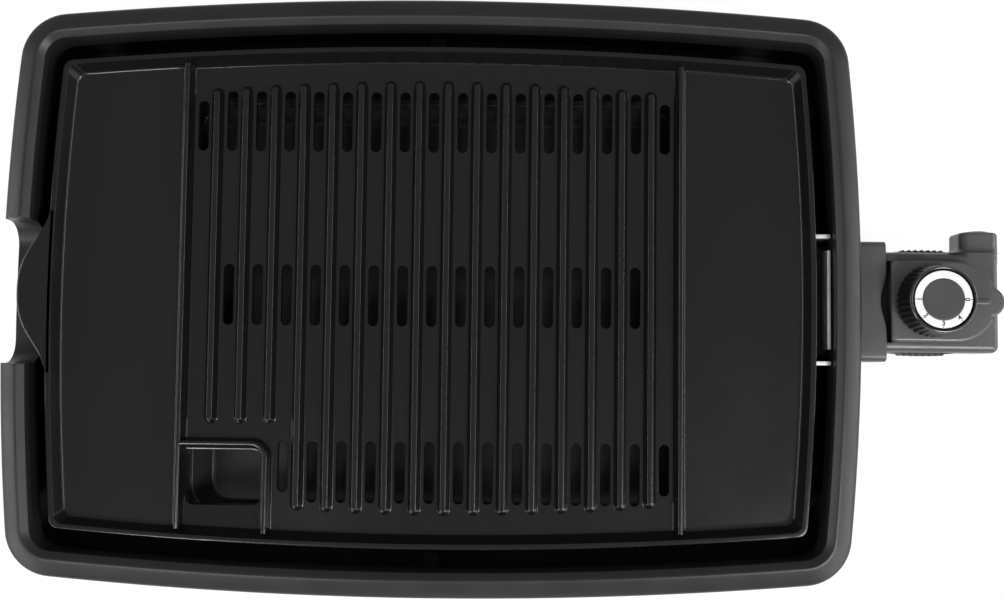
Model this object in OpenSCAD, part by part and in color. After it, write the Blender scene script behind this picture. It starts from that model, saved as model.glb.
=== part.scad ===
// Electric indoor grill: cool-touch housing, lift-out ribbed grill plate with a cast-in
// heating element, lift-out drip tray, and a plug-in thermostat control with a dial knob.
// Millimetres. +X runs along the length towards the control, +Y across the grill, +Z up.
// The feet stand on Z = 0.

/* [Housing] */
// Length of the housing between its bowed ends
housing_l = 476; // [450:2:520]
// Width of the housing between its bowed sides
housing_w = 331.6; // [322:0.2:360]
// Height of the rim's crest above the table
housing_h = 70; // [66:1:80]
// Radius of the bow along the two long sides
side_bow_r = 2326; // [1800:10:4000]
// Radius of the bow along the two short ends
end_bow_r = 1389; // [1000:10:3000]
// Corner radius of the housing
corner_r = 27; // [24:1:36]
// Thickness of the moulded walls
housing_wall = 2.6; // [2:0.1:3.2]
// Width of the rim's outer slope
rim_slope_w = 10.5; // [9:0.5:13]
// Width of the chamfer inside the rim's crest
rim_chamfer_w = 4; // [3:0.5:6]
// Drop of that chamfer
rim_chamfer_h = 3.2; // [2:0.1:5]
// Depth of the skirt that hangs inside the rim
skirt_h = 17; // [10:1:22]
// How far the outer wall draws in at its foot
foot_draft = 5; // [3:0.5:8]
// Width of the finger cut-out in the left end
cutout_w = 80; // [70:1:96]
// Depth of the finger cut-out below the rim
cutout_depth = 26; // [22:1:32]
// Radius of the scooped ends of the cut-out
cutout_r = 14; // [8:1:20]
// Thickness of the saddle under the cut-out
saddle_t = 3; // [2:0.5:4]

/* [Hood] */
// How far the hood stands out from the housing
hood_reach = 18; // [14:1:26]
// Width of the hood
hood_w = 68; // [66:1:76]
// Height of the hood's roof above the table
hood_top = 50; // [49:0.5:53]
// Wall thickness of the hood
hood_wall = 2.4; // [2:0.1:3]
// Depth of the finger dip in the roof's edge
hood_dip = 2.3; // [1:0.1:4]
// Half width of that dip
hood_dip_half_w = 14; // [8:0.5:16]

/* [Base pan and feet] */
// Thickness of the pan's floor
pan_t = 2.5; // [2:0.1:3.5]
// Gap between the pan's edge and the housing
pan_gap = 0.4; // [0.2:0.1:1]
// Height of the rubber feet
foot_h = 6; // [5:0.5:9]
// Diameter of the rubber feet
foot_d = 20; // [16:1:26]
// Distance between feet along the length
foot_span_x = 372; // [340:2:380]
// Distance between feet across the width
foot_span_y = 232; // [210:2:244]
// Diameter of the posts that carry the grill plate
post_d = 18; // [16:1:22]
// Height of the posts' seats above the table
post_seat_z = 24; // [20:1:28]
// Height of the cup wall round each seat
post_cup_h = 3; // [2:0.5:5]
// Diameter of the pan and foot screws
base_screw_d = 3.5; // [3:0.1:4]

/* [Grill plate] */
// Gap from the rim to the plate at the two ends
plate_gap_end = 10.15; // [8:0.05:14]
// Gap from the rim to the plate at the two sides
plate_gap_side = 12.05; // [8:0.05:14]
// Drop from the rim's crest to the plate's lip
lip_drop = 5; // [3:0.5:8]
// Width of the flat lip
lip_w = 3; // [2.5:0.1:3.4]
// Corner radius of the lip
lip_corner_r = 6; // [5:0.5:12]
// Depth from the lip to the floor of the wings
plate_depth = 9; // [8:0.5:10]
// Draft of the pan's wall from the lip to the floor
wall_draft = 3.3; // [2.8:0.1:4]
// Thickness of the casting
plate_t = 3.5; // [3.2:0.1:4.2]
// Step down from the wings to the ribbed zone
zone_step = 2; // [1.5:0.1:2.4]
// Width of the sloped flank beside each divider
zone_flank_w = 3; // [2:0.5:5]
// Number of grill ribs
rib_count = 16; // [14:2:16]
// Distance between the ribs
rib_pitch = 16.33; // [16:0.01:16.8]
// Width of a rib at its foot
rib_w = 6.3; // [5.6:0.1:7]
// Width of a rib at its crown
rib_crown_w = 2.2; // [1.6:0.1:2.6]
// Height of the ribs above the floor
rib_h = 5; // [4:0.2:5.4]
// Reach of the middle ribs from the centre line
rib_reach = 121.8; // [118:0.2:123]
// Number of shorter ribs beside the drain
short_ribs = 3; // [1:1:3]
// Width of the grease slots
slot_w = 5.3; // [4.4:0.1:6]
// Length of the grease slots
slot_l = 34; // [28:1:38]
// Distance from the centre to the outer rows of slots
slot_row_y = 98.6; // [96:0.2:100]
// Width of the dividers and of the drain's border
divider_w = 5; // [4:0.2:6]
// Height of the dividers above the ribbed zone
divider_h = 7; // [5:0.5:8]
// Length of the drain opening
drain_l = 43; // [38:1:44]
// Width of the drain opening
drain_w = 32; // [28:1:33]
// Corner radius of the drain opening
drain_r = 5; // [4:0.5:8]
// Depth of the spout under the drain
spout_h = 6; // [4:0.5:8]
// Reach of the lifting tab beyond the lip
tab_reach = 16.8; // [14:0.2:18]
// Half width of the lifting tab where it meets the lip
tab_half_w = 47; // [42:1:52]
// Thickness of the lifting tab
tab_t = 4; // [3:0.2:5]
// Diameter of the cast legs
leg_d = 11; // [10:0.5:12.5]
// Distance between the legs along the length
leg_span_x = 352; // [344:1:360]
// Distance between the legs across the width
leg_span_y = 190; // [176:1:196]

/* [Heating element] */
// Diameter of the sheathed element
element_d = 6.6; // [6:0.1:7.2]
// Distance from the centre line to each long run
run_y = 50; // [44:1:54]
// Bend radius where the runs turn in towards the socket
element_bend_r = 18; // [15:1:22]
// Width of the casting round the element
channel_w = 11; // [10:0.5:13]
// Distance between the two terminal pins
pin_pitch = 28; // [26:0.5:30]
// Diameter of the terminal pins
pin_d = 4.8; // [4.4:0.1:5.2]
// Length of the pins beyond the socket's face
pin_l = 13; // [11:0.5:13.5]
// Height of the pins above the table
socket_z = 34; // [33:0.5:35]
// Thickness of the socket guard's sheet
guard_t = 1.2; // [1:0.1:1.6]
// Gap between the socket guard and the rim
guard_gap = 1.2; // [1:0.1:2.5]
// Drop of the guard's bar and ears below the plate's lip
guard_drop = 5.5; // [4.8:0.1:7]

/* [Drip tray] */
// Length of the tray over its flange
tray_l = 284; // [270:1:290]
// Width of the tray over its flange
tray_w = 247; // [236:1:250]
// How far the tray sits towards the drain's side
tray_shift = 6.3; // [4:0.1:8]
// Height of the tray's rim above its underside
tray_h = 18; // [14:1:20]
// Sheet thickness of the tray
tray_t = 1.2; // [0.8:0.1:1.6]
// Width of the tray's flange
tray_flange_w = 3.5; // [2.5:0.5:5]
// Draft of the tray's wall
tray_draft = 7; // [5:0.5:9]
// Corner radius of the tray's flange
tray_corner_r = 23; // [20:1:30]
// Height of the pads under the tray
tray_pad_h = 3.5; // [2.5:0.5:5]

/* [Control] */
// Width of the control's body
body_w = 57; // [56:0.5:58.5]
// Length of the control beyond the hood
body_l = 66.5; // [64:0.5:72]
// Height of the control's body
body_h = 26.5; // [25:0.5:27]
// Corner radius of the body
body_r = 4; // [3:0.5:6]
// Wall thickness of the control's case
case_wall = 2.2; // [1.8:0.1:2.6]
// Height of the raised deck above the body
deck_h = 7.5; // [6:0.5:9]
// Width of the raised deck
deck_w = 45.4; // [44:0.2:48]
// Radius of the deck's pointer nose
nose_r = 6.5; // [5:0.5:8]
// Diameter of the cord boss
boss_d = 22; // [20:0.5:23]
// Reach of the cord boss beyond the body's side
boss_reach = 12.5; // [10:0.5:16]
// Diameter of the cord's passage through the gland
cord_d = 7.5; // [6:0.1:8]
// Diameter of the gland
gland_d = 13; // [11.5:0.5:14]
// Diameter of the sensor rod
rod_d = 6; // [5:0.1:6.4]
// Radial clearance round the sensor rod
rod_gap = 0.1; // [0.05:0.01:0.1]
// Number of ribs on each finger grip
grip_ribs = 7; // [5:1:9]
// Distance between the grip's ribs
grip_pitch = 3.6; // [3.2:0.1:4]

/* [Knob] */
// Diameter of the knob at its foot
knob_d = 40.6; // [39:0.2:42]
// Diameter of the knob at its top edge
knob_top_d = 36.8; // [36:0.2:38.6]
// Height of the knob
knob_h = 18.4; // [16:0.2:21]
// Gap between the knob and the deck
knob_gap = 0.6; // [0.4:0.1:1.2]
// Number of flutes round the knob
flute_count = 36; // [30:2:44]
// Depth of the flutes
flute_depth = 0.9; // [0.5:0.1:1.2]
// Outer diameter of the dial ring
dial_d = 31.4; // [30:0.2:32]
// Outer diameter of the centre cap
cap_d = 22.9; // [20:0.1:24]
// Diameter of the spindle
spindle_d = 6; // [5.6:0.1:6.4]
// Radial clearance of the spindle in its bush
spindle_gap = 0.06; // [0.03:0.01:0.1]

/* [Hidden] */

$fn = 48;
eps = 0.01;
sink = 0.5;
touch = 1;
end_steps = 3;
corner_steps = 5;
side_steps = 5;
rib_steps = 6;
min_r = 3;

half_l = housing_l / 2;
half_w = housing_w / 2;
rim_w = rim_slope_w + rim_chamfer_w;
rim_x = half_l - rim_w;
rim_y = half_w - rim_w;
rim_low_z = housing_h - rim_chamfer_h;
skirt_z = rim_low_z - skirt_h;
pan_top_z = foot_h + pan_t;

lip_x = rim_x - plate_gap_end;
lip_y = rim_y - plate_gap_side;
lip_z = housing_h - lip_drop;
wing_z = lip_z - plate_depth;
zone_z = wing_z - zone_step;
under_z = wing_z - plate_t;
zone_under_z = zone_z - plate_t;
zone_half_l = (rib_count / 2) * rib_pitch + slot_w / 2 + zone_flank_w / 2;
divider_x = zone_half_l + zone_flank_w + divider_w / 4;
foot_x = lip_x - lip_w - wall_draft;
foot_y = lip_y - lip_w - wall_draft;

drain_x0 = -divider_x + divider_w / 2;
drain_x1 = drain_x0 + drain_l;
drain_y1 = -slot_row_y + slot_l / 2 - divider_w + 1;
drain_y0 = drain_y1 - drain_w;
border_x = drain_x1 + divider_w / 2 + 0.5;
border_y = drain_y1 + divider_w / 2;

element_z = zone_under_z - element_d / 2 + 0.5;
socket_drop_r = (element_z - socket_z) / 2;
pin_y = pin_pitch / 2;
left_turn_x = -lip_x + run_y + 33;
bend_y = run_y - element_bend_r;
bend_x = lip_x - 63;
drop_x = bend_x + 2 * element_bend_r;
boss_face_x = drop_x + 2 * socket_drop_r + 8;
guard_front_x = rim_x - guard_gap;
pin_end_x = boss_face_x + pin_l;

tray_z = pan_top_z + tray_pad_h;
tray_top_z = tray_z + tray_h;

hood_x = half_l + hood_reach;
body_z = socket_z - body_h / 2 - 0.5;
body_top_z = body_z + body_h;
split_z = socket_z - 0.5;
hood_floor_z = body_z - 0.6 - hood_wall;
tunnel_half_w = hood_w / 2 - hood_wall;
body_front_x = half_l + 2;
body_end_x = hood_x + body_l;
deck_x = hood_x + 1.2;
deck_z = body_top_z + deck_h;
deck_round_x = body_end_x - deck_w / 2 - 8.3;
nose_x = body_end_x - 2.5 - nose_r;
knob_x = deck_x + deck_w / 2;
knob_z = deck_z + knob_gap;
knob_top_z = knob_z + knob_h;
boss_x = body_end_x - boss_d / 2;
boss_z = socket_z + 1;
boss_y = body_w / 2 + boss_reach;
plug_front_x = boss_face_x + guard_t + 4;
plug_half_w = pin_y + 12.5;
plug_z0 = body_z + 2.5;
plug_z1 = body_top_z - 1.5;
sleeve_r = pin_d / 2 + 1.2;
rod_tip_x = bend_x + 15;

bounds_mid_x = (body_end_x - half_l) / 2;

// The frame's origin is under the middle of the whole grill with its control fitted
module placed() { translate([-bounds_mid_x, 0, 0]) children(); }

// Barrel-sided outline: four bowed sides joined by tangent corner arcs
function barrel_corner(a, b, r) =
    let (p = [0, b - side_bow_r], q = [a - end_bow_r, 0], d = norm(q - p),
         r1 = side_bow_r - r, r2 = end_bow_r - r,
         t = (r1 * r1 - r2 * r2 + d * d) / (2 * d), h = sqrt(r1 * r1 - t * t),
         u = (q - p) / d)
    [p[0] + t * u[0] + h * u[1], p[1] + t * u[1] - h * u[0]];
function barrel_quarter(a, b, r) =
    let (c = barrel_corner(a, b, r),
         t2 = atan2(c[1], c[0] - (a - end_bow_r)),
         t1 = atan2(c[1] - (b - side_bow_r), c[0]))
    concat(
        [for (i = [0:end_steps - 1]) let (t = t2 * i / end_steps)
            [a - end_bow_r + end_bow_r * cos(t), end_bow_r * sin(t)]],
        [for (i = [0:corner_steps]) let (t = t2 + (t1 - t2) * i / corner_steps)
            [c[0] + r * cos(t), c[1] + r * sin(t)]],
        [for (i = [1:side_steps]) let (t = t1 + (90 - t1) * i / side_steps)
            [side_bow_r * cos(t), b - side_bow_r + side_bow_r * sin(t)]]);
function four_way(q) =
    let (n = len(q))
    concat(
        q,
        [for (i = [n - 2:-1:0]) [-q[i][0], q[i][1]]],
        [for (i = [1:n - 1]) [-q[i][0], -q[i][1]]],
        [for (i = [n - 2:-1:1]) [q[i][0], -q[i][1]]]);
function barrel(a, b, r) = four_way(barrel_quarter(a, b, r));
function round_box(a, b, r, steps) =
    [for (k = [0:3], i = [0:steps]) let (t = 90 * (k + i / steps))
        [(k == 0 || k == 3 ? a - r : r - a) + r * cos(t),
         (k < 2 ? b - r : r - b) + r * sin(t)]];
function at_z(pts, z) = [for (p = pts) [p[0], p[1], z]];

// A skin through a stack of outlines that all have the same number of points
module loft(rings, closed = true) {
    n = len(rings[0]);
    m = len(rings);
    last = closed ? m - 2 : m - 1;
    polyhedron(
        points = [for (r = rings) each r],
        faces = concat(
            closed ? [[for (j = [0:n - 1]) j]] : [],
            [for (i = [0:last], j = [0:n - 1])
                let (k = (j + 1) % n, u = (i + 1) % m) [i * n + j, u * n + j, u * n + k]],
            [for (i = [0:last], j = [0:n - 1])
                let (k = (j + 1) % n, u = (i + 1) % m) [i * n + j, u * n + k, i * n + k]],
            closed ? [[for (j = [n - 1:-1:0]) (m - 1) * n + j]] : []),
        convexity = 8);
}

module along_x(x0, x1, y, z, r) {
    translate([x0, y, z]) rotate([0, 90, 0]) cylinder(h = x1 - x0, r = r);
}
module along_y(x, y0, y1, z, r) {
    translate([x, y0, z]) rotate([-90, 0, 0]) cylinder(h = y1 - y0, r = r);
}
module post(x, y, z0, z1, r) { translate([x, y, z0]) cylinder(h = z1 - z0, r = r); }
module block(x0, x1, y0, y1, z0, z1) {
    translate([x0, y0, z0]) cube([x1 - x0, y1 - y0, z1 - z0]);
}
module four(sx, sy) {
    for (x = [-sx / 2, sx / 2], y = [-sy / 2, sy / 2]) translate([x, y, 0]) children();
}
module both_sides() {
    children();
    mirror([0, 1, 0]) children();
}

// Housing: outer wall, sloped rim and inner skirt in one moulding
function housing_rings(profile) =
    [for (p = profile)
        at_z(barrel(half_l - p[0], half_w - p[0], max(corner_r - p[0], min_r)), p[1])];
housing_profile = [
    [foot_draft, foot_h + 1],
    [foot_draft * 0.4, foot_h + 9],
    [foot_draft * 0.1, housing_h * 0.45],
    [0, housing_h - 17],
    [0.2, housing_h - 9],
    [1.6, housing_h - 4.8],
    [rim_slope_w * 0.45, housing_h - 1.9],
    [rim_slope_w - 1.5, housing_h - 0.2],
    [rim_slope_w, housing_h],
    [rim_w, rim_low_z],
    [rim_w + 0.3, skirt_z],
    [rim_w + 0.3 - housing_wall, skirt_z],
    [rim_w - housing_wall, rim_low_z - 1.6],
    [rim_slope_w * 0.6, housing_h - housing_wall - 1.4],
    [1.6 + housing_wall, housing_h - housing_wall - 4.8],
    [housing_wall, housing_h - 12],
    [housing_wall, housing_h - 17],
    [foot_draft * 0.1 + housing_wall, housing_h * 0.45],
    [foot_draft * 0.4 + housing_wall, foot_h + 9],
    [foot_draft + housing_wall, foot_h + 1]
];
cut_z = housing_h - cutout_depth;
function trough(w, r, z0, z1) =
    concat(
        [[w, z1]],
        [for (i = [0:6]) let (t = -90 * i / 6) [w - r + r * cos(t), z0 + r + r * sin(t)]],
        [for (i = [0:6]) let (t = -90 - 90 * i / 6) [r - w + r * cos(t), z0 + r + r * sin(t)]],
        [[-w, z1]]);
module trough_bar(x0, x1, w, r, z0, z1) {
    translate([x0, 0, 0])
        rotate([90, 0, 90])
            linear_extrude(x1 - x0)
                polygon(trough(w, r, z0, z1));
}
// Screw bosses inside the wall, each tied to it by a web
pan_boss_r = 5;
pan_boss_h = 18;
pan_boss_inset = 20;
pan_end_y = 112;
pan_screw_places = [
    [half_l - pan_boss_inset, pan_end_y], [half_l - pan_boss_inset, -pan_end_y],
    [pan_boss_inset - half_l, pan_end_y], [pan_boss_inset - half_l, -pan_end_y],
    [0, half_w - pan_boss_inset + 5], [0, pan_boss_inset - 5 - half_w]
];
web_inset = foot_draft * 0.4 + 0.7;
module pan_bosses() {
    z0 = pan_top_z + 7;
    z1 = pan_top_z + pan_boss_h;
    web_x = half_l - web_inset - pan_end_y * pan_end_y / (2 * end_bow_r);
    for (p = pan_screw_places) post(p[0], p[1], pan_top_z, z1, pan_boss_r);
    for (s = [-1, 1]) scale_x(s) both_sides()
        block(half_l - pan_boss_inset, web_x, pan_end_y - 1.5, pan_end_y + 1.5, z0, z1);
    both_sides() block(-1.5, 1.5, half_w - pan_boss_inset + 5, half_w - web_inset, z0, z1);
}
module scale_x(s) { mirror([s < 0 ? 1 : 0, 0, 0]) children(); }
hood_dip_r = (hood_dip_half_w * hood_dip_half_w + hood_dip * hood_dip) / (2 * hood_dip);
module hood_shell() {
    difference() {
        block(half_l - housing_wall / 2, hood_x, -hood_w / 2, hood_w / 2, hood_floor_z, hood_top);
        hood_tunnel();
        post(hood_x + hood_dip_r - hood_dip, 0, hood_top - hood_wall - 1, hood_top + 1, hood_dip_r);
    }
}
module hood_tunnel() {
    block(rim_x - 6, hood_x + touch, -tunnel_half_w, tunnel_half_w,
        hood_floor_z + hood_wall, hood_top - hood_wall);
}
module base_housing() {
    color("#26272a") placed() {
        difference() {
            union() {
                loft(housing_rings(housing_profile), closed = false);
                hood_shell();
                difference() {
                    trough_bar(-half_l + housing_wall / 2, -rim_x + 0.3, cutout_w / 2 + saddle_t,
                        cutout_r + saddle_t, cut_z - saddle_t, rim_low_z - 2);
                    trough_bar(-half_l - touch, -rim_x + touch, cutout_w / 2, cutout_r,
                        cut_z, housing_h);
                }
                pan_bosses();
            }
            trough_bar(-half_l - touch, -rim_x + touch, cutout_w / 2, cutout_r,
                cut_z, housing_h + touch);
            hood_tunnel();
            for (p = pan_screw_places) post(p[0], p[1], pan_top_z - eps, pan_top_z + 13,
                base_screw_d / 2);
        }
    }
}

// Base pan: floor with the tray's pads, the plate's posts and the foot bosses
module base_pan() {
    color("#1c1d1f") placed() {
        difference() {
            union() {
                translate([0, 0, foot_h])
                    linear_extrude(pan_t)
                        polygon(barrel(half_l - pan_inset, half_w - pan_inset,
                            corner_r - pan_inset));
                translate([0, 0, foot_h])
                    linear_extrude(pan_lip_t)
                        polygon(barrel(half_l - foot_draft - pan_gap,
                            half_w - foot_draft - pan_gap, corner_r - foot_draft));
                four(leg_span_x, leg_span_y) difference() {
                    post(0, 0, pan_top_z - eps, post_seat_z + post_cup_h, post_d / 2);
                    post(0, 0, post_seat_z, post_seat_z + post_cup_h + touch, post_d / 2 - 1.8);
                }
                four(foot_span_x, foot_span_y) post(0, 0, pan_top_z - eps, pan_top_z + 9, 4.5);
                translate([0, -tray_shift, 0])
                    four(tray_l * 0.7, tray_w * 0.7)
                        post(0, 0, pan_top_z - eps, tray_z, 6);
            }
            for (p = pan_screw_places) post(p[0], p[1], foot_h - touch, pan_top_z + touch,
                base_screw_d / 2 + 0.3);
            four(foot_span_x, foot_span_y) post(0, 0, foot_h - touch, pan_top_z + 7,
                base_screw_d / 2);
        }
    }
}
pan_inset = foot_draft + housing_wall + pan_gap;
// The pan's edge reaches out under the housing's wall
pan_lip_t = 0.9;

module pan_head_screw(d, head_d, head_h, shank_l) {
    difference() {
        cylinder(h = head_h, d = head_d);
        translate([0, 0, -eps]) cylinder(h = head_h * 0.5, d = head_d * 0.4, $fn = 6);
    }
    translate([0, 0, head_h - eps]) cylinder(h = shank_l, d = d);
}
base_screw_head_d = 7;
pan_screw_bite = 12;
module pan_screws() {
    color("#8d9094") placed() {
        for (p = pan_screw_places)
            translate([p[0], p[1], foot_h - 2])
                pan_head_screw(base_screw_d, base_screw_head_d, 2, pan_t + pan_screw_bite);
    }
}

// Rubber feet: tapered pads with a sunk screw
module foot() {
    rotate_extrude()
        polygon([[base_screw_d / 2 + 0.2, 2.6], [4.4, 2.6], [4.4, 0], [foot_d / 2 - 1.6, 0],
            [foot_d / 2 - 0.6, 0.8], [foot_d / 2, foot_h], [base_screw_d / 2 + 0.2, foot_h]]);
}
module rubber_feet() {
    color("#141416") placed() four(foot_span_x, foot_span_y) foot();
}
module foot_screws() {
    color("#8d9094") placed()
        four(foot_span_x, foot_span_y)
            translate([0, 0, 0.8])
                pan_head_screw(base_screw_d, base_screw_head_d, 1.8, foot_h + pan_t - 0.6);
}

// Grill plate: die-cast pan with wings, dividers, ribs, slots, drain and lifting tab
function plate_ring(inset, z, r) = at_z(barrel(lip_x - inset, lip_y - inset, r), z);
lip_in = lip_w;
wall_in = lip_w + wall_draft;
plate_rings = [
    plate_ring(wall_in - 1.6, under_z, lip_corner_r),
    plate_ring(wall_in - 2.6, under_z + 0.8, lip_corner_r),
    plate_ring(0.9, lip_z - 3.6, lip_corner_r),
    plate_ring(0, lip_z - 2.8, lip_corner_r),
    plate_ring(0, lip_z - 0.6, lip_corner_r),
    plate_ring(0.6, lip_z, lip_corner_r - 0.6),
    plate_ring(lip_in - 0.5, lip_z, lip_corner_r - 1.4),
    plate_ring(lip_in, lip_z - 0.5, lip_corner_r - 1.4),
    plate_ring(wall_in - 0.5, wing_z + 1.2, lip_corner_r - 1.4),
    plate_ring(wall_in + 0.3, wing_z + 0.3, lip_corner_r - 1.4),
    plate_ring(wall_in + 1.3, wing_z, lip_corner_r - 1.4)
];
function stadium(w, y0, y1) =
    concat(
        [for (i = [0:rib_steps]) let (t = 180 * i / rib_steps)
            [w / 2 * cos(t), y1 - rib_w / 2 + w / 2 * sin(t)]],
        [for (i = [0:rib_steps]) let (t = 180 + 180 * i / rib_steps)
            [w / 2 * cos(t), y0 + rib_w / 2 + w / 2 * sin(t)]]);
function rib_end(x) = rib_reach - x * x * 0.00035;
module rib(y0, y1) {
    loft([
        at_z(stadium(rib_w, y0, y1), zone_z - sink),
        at_z(stadium(rib_w, y0, y1), zone_z),
        at_z(stadium(rib_w - 1.8, y0, y1), zone_z + 0.8),
        at_z(stadium(rib_crown_w + 1.4, y0, y1), zone_z + rib_h - 1.2),
        at_z(stadium(rib_crown_w, y0, y1), zone_z + rib_h - 0.2),
        at_z(stadium(rib_crown_w * 0.5, y0, y1), zone_z + rib_h)
    ]);
}
module ribs() {
    for (k = [0:rib_count - 1]) {
        x = (k - (rib_count - 1) / 2) * rib_pitch;
        low = k < short_ribs ? short_rib_y : -rib_end(x);
        translate([x, 0, 0]) rib(low, rib_end(x));
    }
}
short_rib_y = border_y + divider_w / 2 + 8.4;
module slot(x, y, l) {
    translate([x, y, zone_under_z - 1]) linear_extrude(plate_t + 2) {
        square([slot_w, l - slot_w], center = true);
        translate([0, (l - slot_w) / 2]) circle(d = slot_w);
        translate([0, (slot_w - l) / 2]) circle(d = slot_w);
    }
}
slot_half = rib_count / 2;
end_slot_cut = 5.8;
module slots() {
    for (k = [-slot_half:slot_half]) {
        x = k * rib_pitch;
        cut = abs(k) == slot_half ? end_slot_cut : 0;
        slot(x, slot_row_y - cut / 2, slot_l - cut);
        if (abs(k) < slot_half) slot(x, 0, slot_l);
        if (x > border_x + divider_w / 2 + slot_w / 2) {
            low_cut = x - rib_pitch < border_x + divider_w / 2 + slot_w / 2 ? end_slot_cut : cut;
            slot(x, -slot_row_y + low_cut / 2, slot_l - low_cut);
        }
    }
}
ridge_z = zone_z - sink;
ridge_section = [
    [-divider_w / 2, 0], [divider_w / 2, 0], [divider_w / 2 - 0.7, sink + 1],
    [divider_w / 2 - 1.3, divider_h + sink - 0.8], [divider_w / 2 - 1.9, divider_h + sink],
    [1.9 - divider_w / 2, divider_h + sink], [1.3 - divider_w / 2, divider_h + sink - 0.8],
    [0.7 - divider_w / 2, sink + 1]
];
module ridge_along_y(x, y0, y1) {
    translate([x, y1, ridge_z]) rotate([90, 0, 0]) linear_extrude(y1 - y0) polygon(ridge_section);
}
module ridge_along_x(x0, x1, y) {
    translate([x0, y, ridge_z]) rotate([90, 0, 90]) linear_extrude(x1 - x0) polygon(ridge_section);
}
function wall_y(x) = lip_y - wall_in + 2 - x * x / (2 * side_bow_r);
border_r = drain_r + divider_w / 2 + 0.5;
module dividers() {
    for (s = [-1, 1]) ridge_along_y(s * divider_x, -wall_y(divider_x), wall_y(divider_x));
    ridge_along_y(border_x, -wall_y(border_x), border_y - border_r);
    ridge_along_x(-divider_x, border_x - border_r, border_y);
    translate([border_x - border_r, border_y - border_r, ridge_z])
        rotate_extrude(angle = 90) translate([border_r, 0]) polygon(ridge_section);
}
module rounded_prism(x0, x1, y0, y1, r, z0, z1) {
    translate([0, 0, z0]) linear_extrude(z1 - z0) {
        translate([x0 + r, y0]) square([x1 - x0 - 2 * r, y1 - y0]);
        translate([x0, y0 + r]) square([x1 - x0, y1 - y0 - 2 * r]);
        for (x = [x0 + r, x1 - r], y = [y0 + r, y1 - r]) translate([x, y]) circle(r = r);
    }
}
module zone_recess() {
    zone_y = foot_y - 1.4;
    loft([
        at_z(barrel(zone_half_l, zone_y, 3), zone_z),
        at_z(barrel(zone_half_l + 0.4, zone_y + 0.2, 3), zone_z + 0.2),
        at_z(barrel(zone_half_l + zone_flank_w - 0.4, zone_y + 1, 3), wing_z - 0.3),
        at_z(barrel(zone_half_l + zone_flank_w + 0.6, zone_y + 1.2, 3), wing_z + 0.4)
    ]);
}
module zone_slab() {
    loft([
        at_z(barrel(zone_half_l + zone_flank_w + 2.5, foot_y - 1, 5), zone_under_z),
        at_z(barrel(zone_half_l + zone_flank_w + 5, foot_y + 0.6, 5), under_z + eps)
    ]);
}
module chute() {
    depth = 1.6;
    translate([drain_x0, 0, 0])
        rotate([90, 0, 90])
            linear_extrude(drain_l)
                polygon([[drain_y0 - eps, zone_z + touch], [drain_y0 - eps, zone_z - depth],
                    [drain_y0 + drain_r, zone_z - depth - 0.4], [drain_y0 + drain_r, zone_z + touch]]);
    translate([drain_x0, 0, 0])
        rotate([90, 0, 90])
            linear_extrude(drain_l)
                polygon([[drain_y0, zone_z + 0.1], [drain_y0, zone_z - depth],
                    [wall_foot_y + 3, zone_z + 0.1]]);
}
wall_foot_y = -foot_y + drain_x0 * drain_x0 / (2 * side_bow_r);
function tab_shape(u) = 0.5 * (1 + cos(180 * pow(min(1, abs(u)), 1.3)));
tab_steps = 11;
// The last points of the outline run into the lip, so that the two meet at a clear angle
function tab_root(u) = u * u * 0.8 + max(0, abs(u) - 0.85) * 10;
function tab_ring(inset, z) = at_z(concat(
    [[lip_in - lip_x, tab_half_w - 2]],
    [for (i = [-tab_steps + 1:tab_steps - 1]) let (u = i / tab_steps)
        [-lip_x + tab_root(u) - (tab_reach - inset) * tab_shape(u), -u * tab_half_w]],
    [[lip_in - lip_x, 2 - tab_half_w]]), z);
module lifting_tab() {
    loft([
        tab_ring(0.6, lip_z - tab_t),
        tab_ring(0, lip_z - tab_t + 0.6),
        tab_ring(0, lip_z - 1.2),
        tab_ring(0.9, lip_z - 0.15)
    ]);
}
module torus_part(x, y, z, bend, from, sweep, r) {
    translate([x, y, z]) rotate([0, 0, from])
        rotate_extrude(angle = sweep) translate([bend, 0]) circle(r = r);
}
module drop_bend(x, y, z, bend, from, r) {
    translate([x, y, z]) rotate([90, 0, 0]) rotate([0, 0, from])
        rotate_extrude(angle = 90) translate([bend, 0]) circle(r = r);
}
// Path of the sheathed element: two long runs, a left turn and two drops to the socket
module element_path(r, end_x) {
    torus_part(left_turn_x, 0, element_z, run_y, 90, 180, r);
    both_sides() {
        along_x(left_turn_x, bend_x, run_y, element_z, r);
        torus_part(bend_x, bend_y, element_z, element_bend_r, 0, 90, r);
        torus_part(bend_x + 2 * element_bend_r, bend_y, element_z, element_bend_r, 180, 90, r);
        along_x(drop_x - eps, drop_x + eps, pin_y, element_z, r);
        drop_bend(drop_x, -pin_y, element_z - socket_drop_r, socket_drop_r, 0, r);
        drop_bend(drop_x + 2 * socket_drop_r, -pin_y, element_z - socket_drop_r,
            socket_drop_r, 180, r);
        along_x(drop_x + 2 * socket_drop_r, end_x, pin_y, socket_z, r);
    }
}
channel_z0 = element_z - element_d / 2 - 1.6;
module channel_section() {
    translate([-channel_w / 2, channel_z0]) square([channel_w, zone_under_z - channel_z0 + sink]);
}
module channel_turn(x, y, bend, from, sweep) {
    translate([x, y, 0]) rotate([0, 0, from])
        rotate_extrude(angle = sweep) translate([bend, 0]) channel_section();
}
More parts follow.
